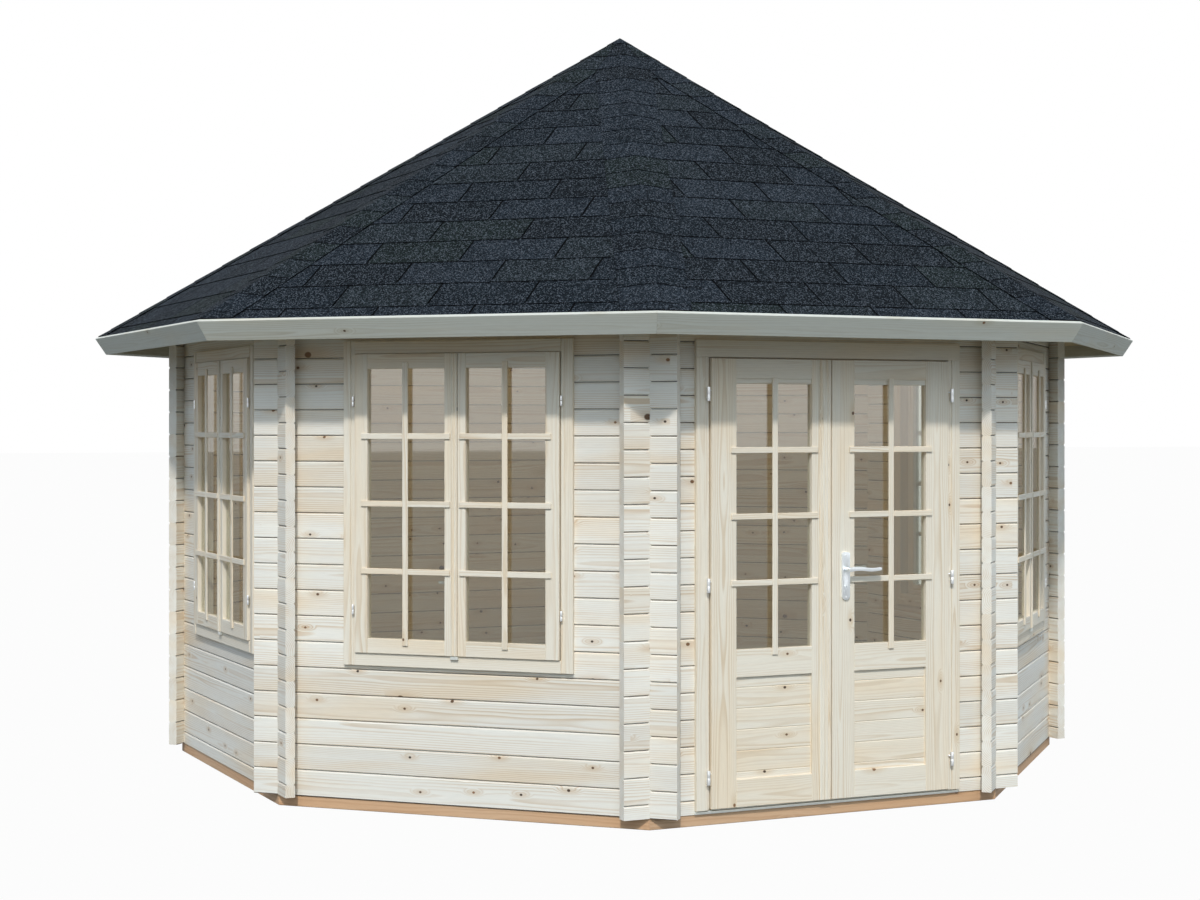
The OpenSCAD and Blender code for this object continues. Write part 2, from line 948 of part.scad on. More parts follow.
// Wood of one sash with its glazing bars
module sash(t0, t1, g0, g1) {
    difference() {
        plate(sash_back, leaf_proud)
            difference() {
                panel_shape(t0, t1, sash_low, sash_high);
                panel_shape(g0, g1, sash_glass_low, sash_glass_high);
            }
        pane(g0, g1, sash_glass_low, sash_glass_high, fit);
    }
    plate(leaf_proud, leaf_proud + bar_t)
        grille_shape(g0, g1, sash_glass_low, sash_glass_high);
}

// Both sashes of a window, the left one with the cover strip
module window_sashes(k) {
    color("wheat")
        on_face(k) {
            sash(-sash_half_w, sash_meet_t - sash_gap / 2, -sash_glass_side, -sash_glass_t);
            cover_strip(sash_meet_t - sash_gap / 2, sash_strip_w, sash_low, sash_high);
            sash(sash_meet_t + sash_gap / 2, sash_half_w, sash_glass_t, sash_glass_side);
        }
}

// Both panes of a window
module window_glass(k) {
    color("lightblue", 0.4)
        on_face(k) {
            pane(-sash_glass_side, -sash_glass_t, sash_glass_low, sash_glass_high, 0);
            pane(sash_glass_t, sash_glass_side, sash_glass_low, sash_glass_high, 0);
        }
}

base_frame();
floor_joists();
floor_boards();
door_wall_left();
door_wall_right();
door_wall_lintel();
front_right_wall();
right_wall();
back_right_wall();
back_wall();
back_left_wall();
left_wall();
front_left_wall();
king_block();
rafters();
roof_boards();
fascia_boards();
roof_shingles();
hip_caps();
door_frame();
threshold();
left_leaf();
left_leaf_grille();
left_leaf_glass();
right_leaf();
right_leaf_grille();
right_leaf_glass();
frame_hinges();
left_leaf_hinges();
right_leaf_hinges();
handle_plates();
handle_lever();
window_frame(1);  // front_right_window_frame
window_sashes(1);  // front_right_window_sashes
window_glass(1);  // front_right_window_glass
window_frame(2);  // right_window_frame
window_sashes(2);  // right_window_sashes
window_glass(2);  // right_window_glass
window_frame(6);  // left_window_frame
window_sashes(6);  // left_window_sashes
window_glass(6);  // left_window_glass
window_frame(7);  // front_left_window_frame
window_sashes(7);  // front_left_window_sashes
window_glass(7);  // front_left_window_glass
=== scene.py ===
"""Looks of the octagonal garden gazebo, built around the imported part.

Pieces are drawn on face 0, the door's, which looks towards -Y, and are then turned about Z onto their
own face. On a face, t runs to the right as seen from outside, out runs outwards from the outer plane
of the logs, and z runs up from the top of the base frame. On a roof slope, u runs like t, up runs up
the slope from the lower edge, and h stands square on the covering. Sizes are in millimetres, and
Blender's own coordinates in metres.
"""

import logging
import math
import random
from contextlib import contextmanager
from dataclasses import dataclass, replace
from enum import Enum
from itertools import product
from typing import Any, Iterator

import bpy
from mathutils import Matrix, Vector


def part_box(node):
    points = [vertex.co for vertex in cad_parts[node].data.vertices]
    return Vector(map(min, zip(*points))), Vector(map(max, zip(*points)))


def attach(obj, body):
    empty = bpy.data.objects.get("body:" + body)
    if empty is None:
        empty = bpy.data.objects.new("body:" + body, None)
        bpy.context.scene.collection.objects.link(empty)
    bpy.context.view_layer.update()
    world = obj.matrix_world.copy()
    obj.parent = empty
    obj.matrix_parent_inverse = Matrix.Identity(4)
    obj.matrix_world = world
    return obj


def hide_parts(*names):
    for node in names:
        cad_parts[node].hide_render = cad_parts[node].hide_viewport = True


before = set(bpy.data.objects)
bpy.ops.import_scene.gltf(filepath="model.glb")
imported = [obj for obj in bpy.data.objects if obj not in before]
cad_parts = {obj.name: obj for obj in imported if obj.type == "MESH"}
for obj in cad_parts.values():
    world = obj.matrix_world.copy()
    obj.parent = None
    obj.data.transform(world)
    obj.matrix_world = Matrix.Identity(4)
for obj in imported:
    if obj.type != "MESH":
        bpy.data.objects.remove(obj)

LOG = logging.getLogger("gazebo")
Object = bpy.types.Object
Material = bpy.types.Material
Node = bpy.types.Node
Limits = tuple[float, float]

MM = 0.001
SEED = 8
# The faces in the order of their numbers, anticlockwise as seen from above
FACES = ("door", "front_right", "right", "back_right", "back", "back_left", "left", "front_left")
SIDES = len(FACES)
TURN = math.tau / SIDES
HALF_TURN = TURN / 2
APOTHEM = 2120.0
CORNER = APOTHEM * math.tan(HALF_TURN)
BASE_H = 50.0
LOG_H = 114.5
WALL_T = 44.0
LOG_END = CORNER + 120.0
MITRE_GAP = 0.25
FIT = 0.3
FLOOR_T = 18.0

# Limits outwards of door leaves and sashes, of the trims outside, and of those in the room
LEAF_OUT = (-10.0, 30.0)
TRIM_OUT = (FIT, 20.0)
ROOM_TRIM_OUT = (-64.0, -WALL_T - FIT)
LINING_T = 13.7

PITCH = math.radians(32.1)
ROOF_APOTHEM = 2531.0
SLOPE_L = ROOF_APOTHEM / math.cos(PITCH)
SHINGLE_T = 8.0
BOARD_T = 19.0
FASCIA_T = 18.0
FASCIA_W = 98.0
# Where boards and shingles begin, up the slope
EAVES_UP = FASCIA_T + FIT
# What is drawn past the peak and past the hips, and cut off there
PAST_PEAK = 5.0
PAST_HIP = 20.0
# How far the hip moves towards the middle of a slope for each millimetre up that slope
HIP_RUN = math.cos(PITCH) * math.tan(HALF_TURN)

GRAIN = "grain"
TINT = "tint"
# Tints of dressed shingle faces lie below the first value, and cut edges have the second one, as does the
# felt under the tabs, whose black is painted shade in the slots
DRESSED = 0.9
BLACK_EDGE_AND_SLOT_SHADE = 1.0
# Where a board may lie in its tree, in metres: along the trunk, beside the heart and away from it
ALONG_TREE = (1.0, 12.0)
BESIDE_HEART = (-0.035, 0.035)
FROM_HEART = (0.02, 0.075)


def apex_height() -> float:
    """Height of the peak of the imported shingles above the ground, in millimetres."""
    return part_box("roof_shingles")[1].z / MM


# Workshop: what every piece is made with


def deselect() -> None:
    """Deselects everything."""
    bpy.ops.object.select_all(action="DESELECT")


def pick(obj: Object) -> None:
    """Makes one object the only selected and active one.

    Args:
        obj: The object.
    """
    deselect()
    obj.select_set(True)
    bpy.context.view_layer.objects.active = obj


def settle(obj: Object) -> None:
    """Moves an object's place, turn and scale into its mesh."""
    pick(obj)
    bpy.ops.object.transform_apply(location=True, rotation=True, scale=True)


@contextmanager
def edit_mode(obj: Object) -> Iterator[None]:
    """Edit mode for one object, with its whole mesh selected.

    Args:
        obj: The object.
    """
    pick(obj)
    bpy.ops.object.mode_set(mode="EDIT")
    bpy.ops.mesh.select_all(action="SELECT")
    yield
    bpy.ops.object.mode_set(mode="OBJECT")


def join(parts: list[Object], name: str) -> Object:
    """Joins parts into one object.

    Args:
        parts: The parts, of which the first one stays.
        name: The name of the joined object.

    Returns:
        The joined object.
    """
    pick(parts[0])
    for part in parts:
        part.select_set(True)
    if len(parts) > 1:
        bpy.ops.object.join()
    parts[0].name = parts[0].data.name = name
    return parts[0]


def copy_of(obj: Object, matrix: Matrix, name: str = "copy") -> Object:
    """Copies an object with its own mesh and moves the copy's mesh.

    Args:
        obj: The object to copy.
        matrix: The move, applied to the mesh.
        name: The name of the copy.

    Returns:
        The copy.
    """
    twin = obj.copy()
    twin.data = obj.data.copy()
    twin.name = twin.data.name = name
    bpy.context.scene.collection.objects.link(twin)
    twin.data.transform(matrix)
    return twin


def on_face(k: float) -> Matrix:
    """The turn about Z that takes face 0 to face k."""
    return Matrix.Rotation(TURN * k, 4, "Z")


def on_slope() -> Matrix:
    """The move from a flat slope, drawn with x = u, y = up and z = h, to the slope of face 0.

    Returns:
        The matrix, in metres.
    """
    to_peak = Matrix.Translation((0, -SLOPE_L * MM, 0))
    tilt = Matrix.Rotation(PITCH, 4, "X")
    return Matrix.Translation((0, 0, apex_height() * MM)) @ tilt @ to_peak


def box_mesh(low: Vector, high: Vector, edge: float) -> Object:
    """A block with bevelled edges.

    Args:
        low: Lowest corner, in millimetres.
        high: Highest corner, in millimetres.
        edge: Width of the bevel, in millimetres.

    Returns:
        The block.
    """
    deselect()
    bpy.ops.mesh.primitive_cube_add(size=1.0, location=(low + high) / 2 * MM)
    obj = bpy.context.object
    obj.scale = (high - low) * MM
    settle(obj)
    with edit_mode(obj):
        bpy.ops.mesh.bevel(offset=edge * MM, segments=1, affect="EDGES")
    return obj


def cut(obj: Object, point: Vector, normal: Vector) -> None:
    """Cuts off all that lies beyond a plane and closes the cut.

    Args:
        obj: The object.
        point: A point of the plane, in metres.
        normal: Points to the side that goes.
    """
    with edit_mode(obj):
        bpy.ops.mesh.bisect(plane_co=point, plane_no=normal, clear_outer=True, use_fill=True)


def mitre(obj: Object) -> None:
    """Cuts a piece of face 0 off a little before the planes through both its corners.

    Args:
        obj: The piece.
    """
    for side in (-1, 1):
        normal = Vector((side * math.cos(HALF_TURN), math.sin(HALF_TURN), 0))
        cut(obj, -normal * MITRE_GAP * MM, normal)


def refine(obj: Object, edge: float, segments: int) -> None:
    """Merges the loose triangles of a shape and rounds its sharp edges.

    Args:
        obj: The shape.
        edge: Width of the rounding, in millimetres.
        segments: Faces across the rounding.
    """
    sharp, flat, same = math.radians(35.0), math.radians(0.5), 1e-6
    with edit_mode(obj):
        bpy.ops.mesh.remove_doubles(threshold=same)
        bpy.ops.mesh.dissolve_limited(angle_limit=flat)
    bevel = obj.modifiers.new("edges", "BEVEL")
    bevel.width = edge * MM
    bevel.segments = segments
    bevel.limit_method = "ANGLE"
    bevel.angle_limit = sharp
    bpy.ops.object.modifier_apply(modifier=bevel.name)
    bpy.ops.object.shade_smooth_by_angle(angle=sharp)


def cad_copy(node: str, name: str, edge: float, segments: int = 2) -> Object:
    """A copy of a CAD node's shape with rounded edges.

    Args:
        node: The CAD node.
        name: The name of the copy.
        edge: Width of the rounding, in millimetres.
        segments: Faces across the rounding.

    Returns:
        The copy, which rides on nothing yet.
    """
    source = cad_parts[node]
    twin = bpy.data.objects.new(name, source.data.copy())
    bpy.context.scene.collection.objects.link(twin)
    twin.data.materials.clear()
    refine(twin, edge, segments)
    return twin


def rod(middle: tuple[float, float, float], radius: float, length: float, turn: float,
        edge: float) -> Object:
    """A round bar with rounded ends on face 0.

    Args:
        middle: Its middle: along the face, outwards, and in height.
        radius: Its radius.
        length: Its length.
        turn: Angle about X from upright, in degrees.
        edge: Width of the rounding.

    Returns:
        The bar.
    """
    t, out, z = middle
    deselect()
    bpy.ops.mesh.primitive_cylinder_add(
        vertices=20, radius=radius * MM, depth=length * MM,
        location=Vector((t, -APOTHEM - out, BASE_H + z)) * MM, rotation=(math.radians(turn), 0, 0))
    bar = bpy.context.object
    settle(bar)
    refine(bar, edge, 2)
    return bar


def carve(obj: Object, tool: Object) -> None:
    """Cuts the tool's shape out of an object and removes the tool.

    Args:
        obj: The object.
        tool: The shape that goes.
    """
    hole = obj.modifiers.new("hole", "BOOLEAN")
    hole.operation, hole.solver, hole.object = "DIFFERENCE", "EXACT", tool
    pick(obj)
    bpy.ops.object.modifier_apply(modifier=hole.name)
    bpy.data.objects.remove(tool)


def write_vectors(obj: Object, name: str, values: list[Vector]) -> None:
    """Keeps a vector for each vertex under a name.

    Args:
        obj: The object.
        name: The attribute's name.
        values: One vector for each vertex.
    """
    layers = obj.data.attributes
    layer = layers.get(name) or layers.new(name, "FLOAT_VECTOR", "POINT")
    layer.data.foreach_set("vector", [c for v in values for c in v])


def mark_edges(sheet: Object, dressed: bool = True) -> None:
    """Tells the dressed upper face of a sheet that lies flat from its cut edges of bare bitumen.

    Args:
        sheet: The sheet.
        dressed: False for a sheet that is black all round, as the felt under the tabs is, whose black is
            painted shade in the slots between tabs.
    """
    layer = sheet.data.attributes.new(TINT, "FLOAT", "FACE")
    layer.data.foreach_set("value", [
        0.0 if dressed and face.normal.z > 0.9 else BLACK_EDGE_AND_SLOT_SHADE for face in sheet.data.polygons])


def tint(obj: Object, factor: float, shift: float) -> None:
    """Changes the tint of the dressed faces and leaves the cut edges as they are.

    Args:
        obj: One tab, or many that are joined.
        factor: Number that each tint is multiplied by first.
        shift: Number that is added then.
    """
    layer = obj.data.attributes[TINT]
    values = [item.value for item in layer.data]
    layer.data.foreach_set(
        "value", [v if v > DRESSED else (v * factor + shift) % DRESSED for v in values])


class Grain(Enum):
    """The direction in which the fibres of a board on face 0 run, as an order of its axes."""

    ACROSS = (0, 2, 1)
    UP = (2, 0, 1)
    OUT = (1, 0, 2)


def place_in_tree(rng: random.Random, both_sides: bool = True) -> Vector:
    """Draws the place that a board was sawn from.

    Args:
        rng: Source of the place.
        both_sides: Whether the heart may lie before the board as well as behind it.

    Returns:
        The board's middle in metres, along the trunk and from its heart.
    """
    along, beside = rng.uniform(*ALONG_TREE), rng.uniform(*BESIDE_HEART)
    side = rng.choice((-1, 1)) if both_sides else 1
    return Vector((along, beside, side * rng.uniform(*FROM_HEART)))


def write_grain(obj: Object, axes: tuple[int, int, int], place: Vector) -> None:
    """Tells the wood material where each point of a board lay in its tree.

    The vector's x runs along the fibres, and its y and z start at the heart of the tree.

    Args:
        obj: The board.
        axes: The board's axes along its fibres, across its width and through its thickness.
        place: The board's middle in its tree.
    """
    points = [v.co for v in obj.data.vertices]
    middle = sum(points, Vector()) / len(points)
    write_vectors(obj, GRAIN, [Vector([(p - middle)[a] for a in axes]) + place for p in points])


def shift_grain(obj: Object, rng: random.Random) -> None:
    """Gives a copy wood of its own by moving it along the tree.

    Args:
        obj: The copy.
        rng: Source of the shift.
    """
    layer = obj.data.attributes[GRAIN]
    shift = Vector((rng.uniform(1, 6), 0, 0))
    write_vectors(obj, GRAIN, [item.vector + shift for item in layer.data])


def on_all_faces(obj: Object, name: str, rng: random.Random) -> Object:
    """Copies a mitred piece of face 0 onto all faces, each copy with wood of its own.

    Args:
        obj: The piece, which is used up.
        name: The name of the joined copies.
        rng: Source of the shift of the grain.

    Returns:
        The joined copies.
    """
    parts = [copy_of(obj, on_face(k)) for k in range(SIDES)]
    for part in parts:
        shift_grain(part, rng)
    bpy.data.objects.remove(obj)
    return join(parts, name)


@dataclass(frozen=True)
class Board:
    """A planed board or another block on face 0, given by its limits in millimetres.

    Attributes:
        t: Limits along the face.
        out: Limits outwards.
        z: Limits in height.
        grain: The direction of the fibres.
        edge: Width of the bevel on its edges.
    """

    t: Limits
    out: Limits
    z: Limits
    grain: Grain = Grain.UP
    edge: float = 1.5

    def shape(self) -> Object:
        """Makes a block of these limits, without grain.

        Returns:
            The block.
        """
        low = Vector((self.t[0], -APOTHEM - self.out[1], BASE_H + self.z[0]))
        high = Vector((self.t[1], -APOTHEM - self.out[0], BASE_H + self.z[1]))
        return box_mesh(low, high, self.edge)

    def build(self, rng: random.Random) -> Object:
        """Makes the board.

        Args:
            rng: Source of the board's place in its tree.

        Returns:
            The board, which rides on nothing yet.
        """
        obj = self.shape()
        write_grain(obj, self.grain.value, place_in_tree(rng))
        return obj


def build_boards(boards: list[Board], name: str, rng: random.Random) -> Object:
    """Makes boards and joins them into one piece.

    Args:
        boards: The boards.
        name: The name of the piece.
        rng: Source of each board's place in its tree.

    Returns:
        The piece.
    """
    return join([board.build(rng) for board in boards], name)


def mirrored(boards: list[Board]) -> list[Board]:
    """The same boards on the other side of the face's middle."""
    return [replace(board, t=(-board.t[1], -board.t[0])) for board in boards]


def hand_over(obj: Object, material: Material, body: str, slot: str, *nodes: str) -> Object:
    """Dresses a finished piece and puts it on its body.

    Args:
        obj: The piece.
        material: Its finish.
        body: The CAD body that it rides on.
        slot: The record's material slot. It is not used.
        nodes: The CAD nodes that it stands for.

    Returns:
        The piece.
    """
    obj.data.materials.clear()
    obj.data.materials.append(material)
    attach(obj, body)
    if nodes:
        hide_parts(*nodes)
    LOG.info("%s: %d faces on %s", obj.name, len(obj.data.polygons), body)
    return obj


def dress(node: str, material: Material) -> None:
    """Gives a CAD node its finish.

    Args:
        node: The node.
        material: The finish.
    """
    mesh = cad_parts[node].data
    mesh.materials.clear()
    mesh.materials.append(material)
    LOG.info("%s: kept from CAD, %s", node, material.name)


# Finishes


def colour(text: str) -> tuple[float, float, float, float]:
    """Turns an sRGB hex colour to the linear values that Blender works with.

    Args:
        text: Six hex digits, such as "E3D3B4".

    Returns:
        Red, green, blue and an alpha of 1.
    """
    values = [int(text[i:i + 2], 16) / 255 for i in (0, 2, 4)]
    red, green, blue = [v / 12.92 if v <= 0.04045 else ((v + 0.055) / 1.055) ** 2.4 for v in values]
    return red, green, blue, 1.0


class Graph:
    """The node tree of one material or of the world."""

    def __init__(self, name: str = "") -> None:
        """Starts an empty tree.

        Args:
            name: The material's name. Without one the tree is the world's.
        """
        if name:
            self.owner = bpy.data.materials.new(name)
        else:
            self.owner = bpy.context.scene.world = bpy.data.worlds.new("studio")
        self.owner.use_nodes = True
        self.tree = self.owner.node_tree
        self.tree.nodes.clear()

    def add(self, kind: str, inputs: dict[str, Any] | tuple[Any, ...] = (), **settings: Any) -> Node:
        """Adds a node with its settings and links.

        Args:
            kind: The node's type, without "ShaderNode".
            inputs: Values, sockets or nodes for the inputs, by name or in the inputs' own order. A
                node stands for its first output.
            settings: The node's own settings.

        Returns:
            The node.
        """
        node = self.tree.nodes.new("ShaderNode" + kind)
        for key, value in settings.items():
            setattr(node, key, value)
        for key, value in inputs.items() if isinstance(inputs, dict) else enumerate(inputs):
            if isinstance(value, Node):
                value = value.outputs[0]
            if isinstance(value, bpy.types.NodeSocket):
                self.tree.links.new(value, node.inputs[key])
            else:
                node.inputs[key].default_value = value
        return node

    def close(self, shader: Node) -> Material:
        """Links the shader to the output.

        Args:
            shader: The last shader node.

        Returns:
            The finished material, or the world.
        """
        output = "OutputWorld" if isinstance(self.owner, bpy.types.World) else "OutputMaterial"
        self.add(output, {"Surface": shader})
        return self.owner

    def seen_rays(self) -> Node:
        """1 for rays from the camera, from a mirror or through glass, and 0 for rays that carry light.

        Returns:
            The node.
        """
        rays = self.add("LightPath").outputs
        either = self.add("Math", (rays["Is Camera Ray"], rays["Is Glossy Ray"]), operation="MAXIMUM")
        return self.add("Math", (either, rays["Is Transmission Ray"]), operation="MAXIMUM")


@dataclass(frozen=True)
class Wood:
    """Planed spruce: pale early wood, tan late wood in rings round the heart, and brown knots.

    To the eye that is a cream ground with tan lines along the board, arched where the cut runs
    through the rings at a shallow angle, peach-coloured streaks, and now and then a brown knot that
    the lines run round.

    Attributes:
        name: The material's name.
        early: Colour of the pale wood.
        late: Colour of the ring lines.
        warm: Colour of the peach streaks.
        ring: Distance between rings, in millimetres. Real ones are 2 to 3 mm apart, and these are
            coarser so that they show in the render.
        contrast: Strength of the ring lines.
        warmth: Strength of the streaks.
        roughness: Roughness of the surface.
        knots: Share of the places where a knot may be that have one.
    """

    name: str
    early: str
    late: str
    warm: str = "EFDABB"
    ring: float = 8.0
    contrast: float = 0.55
    warmth: float = 0.6
    roughness: float = 0.62
    knots: float = 0.30

    def from_boards(self) -> Material:
        """The finish of pieces whose boards carry the grain attribute."""
        graph = Graph(self.name)
        return self.surface(graph, graph.add("Attribute", attribute_name=GRAIN).outputs["Vector"])

    def from_object(self) -> Material:
        """The finish of a CAD node whose boards all run along X.

        Returns:
            The material.
        """
        graph = Graph(self.name)
        position = graph.add("TexCoord").outputs["Object"]
        place = graph.add("Mapping", {"Vector": position, "Location": (3, 0.02, 0.05)})
        return self.surface(graph, place)

    def from_logs(self, k: int) -> Material:
        """The finish of the logs of face k, each of which gets wood of its own.

        Args:
            k: The face. Course lines of odd and even faces are half a log apart.

        Returns:
            The material.
        """
        graph = Graph(f"{self.name}_face_{k}")
        position = graph.add("TexCoord").outputs["Object"]
        start = BASE_H - (0 if k % 2 else LOG_H / 2)
        turned = graph.add("Mapping", {
            "Vector": position, "Rotation": (0, 0, -TURN * k),
            "Location": (0, (APOTHEM - WALL_T / 2) * MM, -start * MM)})
        x, y, z = graph.add("SeparateXYZ", (turned,)).outputs
        course = graph.add("Math", (z, LOG_H * MM), operation="DIVIDE")
        number = graph.add("Math", (course,), operation="FLOOR")
        label = graph.add("Math", (number, 31.0 * k + 0.5), operation="ADD")
        chance = graph.add("TexWhiteNoise", {"W": label}, noise_dimensions="1D").outputs
        low = graph.add("Math", (number, LOG_H * MM), operation="MULTIPLY")
        height = graph.add("Math", (z, low), operation="SUBTRACT")
        in_log = graph.add("CombineXYZ", (x, height, y))
        # The log's place in its tree, in metres: along the trunk, beside its heart and away from it
        spread = graph.add(
            "VectorMath", (chance["Color"], (11.0, -0.10, 0.06), (1.0, -0.01, 0.015)),
            operation="MULTIPLY_ADD")
        place = graph.add("VectorMath", (in_log, spread), operation="ADD")
        # No knots close to the sawn ends, where they would show as lines through the whole log
        along = graph.add("Math", (x,), operation="ABSOLUTE")
        knotty = graph.add("Math", (along, (LOG_END - 30) * MM), operation="LESS_THAN")
        # The open joint under each log, a dark line at the bottom of the groove: painted shade, a dark
        # band on the lowest 3 mm of each log that stands for the shade in the joint
        bottom = graph.add("Math", (height, 3.0 * MM), operation="LESS_THAN")
        inside = graph.add("Math", (along, (LOG_END - 1) * MM), operation="LESS_THAN")
        joint = graph.add("Math", (bottom, inside), operation="MULTIPLY")
        return self.surface(graph, place, chance["Value"], knotty, joint)

    def surface(self, graph: Graph, place: Any, tone: Any = 0.5, knotty: Any = 1.0,
                joint: Any = 0.0) -> Material:
        """Adds the wood's look to a tree.

        Args:
            graph: The tree.
            place: Vector in metres: x along the fibres, y and z from the heart.
            tone: A number from 0 to 1 that makes a board darker or paler as a whole.
            knotty: 1 where a knot may be and 0 elsewhere.
            joint: 1 in the open joint between logs, where painted shade darkens the wood, and 0
                elsewhere.

        Returns:
            The material.
        """
        stretched = graph.add("VectorMath", (place, (1.0, 6.0, 6.0)), operation="MULTIPLY")
        drift = graph.add("TexNoise", {"Vector": stretched, "Scale": 1.0, "Detail": 2.0})
        centred = graph.add(
            "VectorMath", (drift.outputs["Color"], (0.5, 0.5, 0.5)), operation="SUBTRACT")
        bent = graph.add("VectorMath", (centred, (0.0, 0.036, 0.036), place), operation="MULTIPLY_ADD")

        # Knots: branches square to the board's face, 10 to 28 mm wide, one in each cell at most
        cell = graph.add(
            "TexVoronoi", {"Vector": place, "Scale": 4.5, "Randomness": 0.7}, voronoi_dimensions="2D")
        chances = graph.add("SeparateColor", (cell.outputs["Color"],)).outputs
        drawn = graph.add("Math", (chances[0], self.knots), operation="LESS_THAN")
        has_knot = graph.add("Math", (drawn, knotty), operation="MULTIPLY")
        squared = graph.add("Math", (chances[1], 2.0), operation="POWER")
        radius = graph.add("Math", (squared, 0.0095, 0.0054), operation="MULTIPLY_ADD")
        offset = graph.add("VectorMath", (place, cell.outputs["Position"]), operation="SUBTRACT")
        core, halo = (self.spot(graph, offset, radius, has_knot, *shape) for shape in (
            ((0.8, 1.0, 0.0), 1.1, 0.7), ((0.33, 1.0, 0.0), 3.8, 0.6)))

        # Rings: distance from the heart, pushed aside by the knots
        across = graph.add("VectorMath", (bent, (0.0, 1.0, 1.0)), operation="MULTIPLY")
        away = graph.add("VectorMath", (across,), operation="LENGTH").outputs["Value"]
        pushed = graph.add("Math", (halo, 0.02, away), operation="MULTIPLY_ADD")
        count = graph.add("Math", (pushed, self.ring * MM), operation="DIVIDE")
        line = graph.add("ValToRGB", (graph.add("Math", (count,), operation="FRACT"),))
        ramp = line.color_ramp.elements
        ramp[1].color = (0, 0, 0, 1)
        for position, late in ((0.45, 0.12), (0.82, 1.0), (0.92, 0.85)):
            ramp.new(position).color = (late, late, late, 1)

        # Fibres, and slow changes of tone along the board
        fine = graph.add("VectorMath", (bent, (14.0, 520.0, 520.0)), operation="MULTIPLY")
        fibre = graph.add("TexNoise", {"Vector": fine, "Scale": 1.0, "Detail": 3.0, "Roughness": 0.6})
        broad = graph.add("VectorMath", (place, (0.9, 16.0, 16.0)), operation="MULTIPLY")
        patch = graph.add("TexNoise", {"Vector": broad, "Scale": 1.0, "Detail": 2.0})

        strength = graph.add("MapRange", (patch, 0.35, 0.68, 0.2 * self.contrast, self.contrast))
        lines = graph.add("Math", (line, strength), operation="MULTIPLY")
        peach = graph.add("MapRange", (drift, 0.48, 0.72, 0.0, self.warmth))
        ground = graph.add("MixRGB", (peach, colour(self.early), colour(self.warm)))
        lined = graph.add("MixRGB", (lines, ground, colour(self.late)))
        streak = graph.add("MapRange", (fibre, 0.3, 0.7, 0.93, 1.04))
        toned = graph.add("MapRange", (tone, 0.0, 1.0, 0.93, 1.04))
        level = graph.add("Math", (streak, toned), operation="MULTIPLY")
        shaded = graph.add("VectorMath", (lined, level), operation="MULTIPLY")
        rim = graph.add("Math", (halo, 0.4), operation="MULTIPLY")
        rimmed = graph.add("MixRGB", (rim, shaded, colour(self.late)))
        knot = graph.add("MixRGB", (chances[2], colour("2C221B"), colour("8A6442")))
        knotted = graph.add("MixRGB", (core, rimmed, knot))
        # Painted shade: the open joint at the bottom of each log's groove is coloured dark brown, 3B3128
        joint_shaded = graph.add("MixRGB", (joint, knotted, colour("3B3128")))

        relief = graph.add("Math", (lines, 0.5, fibre), operation="MULTIPLY_ADD")
        bump = graph.add("Bump", {"Strength": 0.25, "Distance": 0.0006, "Height": relief})
        return graph.close(graph.add(
            "BsdfPrincipled", {"Base Color": joint_shaded, "Roughness": self.roughness, "Normal": bump}))

    def spot(self, graph: Graph, offset: Any, radius: Any, full: Any,
             squeeze: tuple[float, float, float], outer: float, inner: float) -> Node:
        """A soft oval spot round a knot's middle.

        Args:
            graph: The tree.
            offset: Vector from the middle, in metres.
            radius: The knot's radius, in metres.
            full: The value in the middle.
            squeeze: Factors of the offset. Less than 1 makes the spot longer that way.
            outer: Distance in radii where the spot starts.
            inner: Distance in radii where it is full.

        Returns:
            The node.
        """
        oval = graph.add("VectorMath", (offset, squeeze), operation="MULTIPLY")
        far = graph.add("VectorMath", (oval,), operation="LENGTH").outputs["Value"]
        share = graph.add("Math", (far, radius), operation="DIVIDE")
        return graph.add("MapRange", (share, outer, inner, 0.0, full), interpolation_type="SMOOTHSTEP")


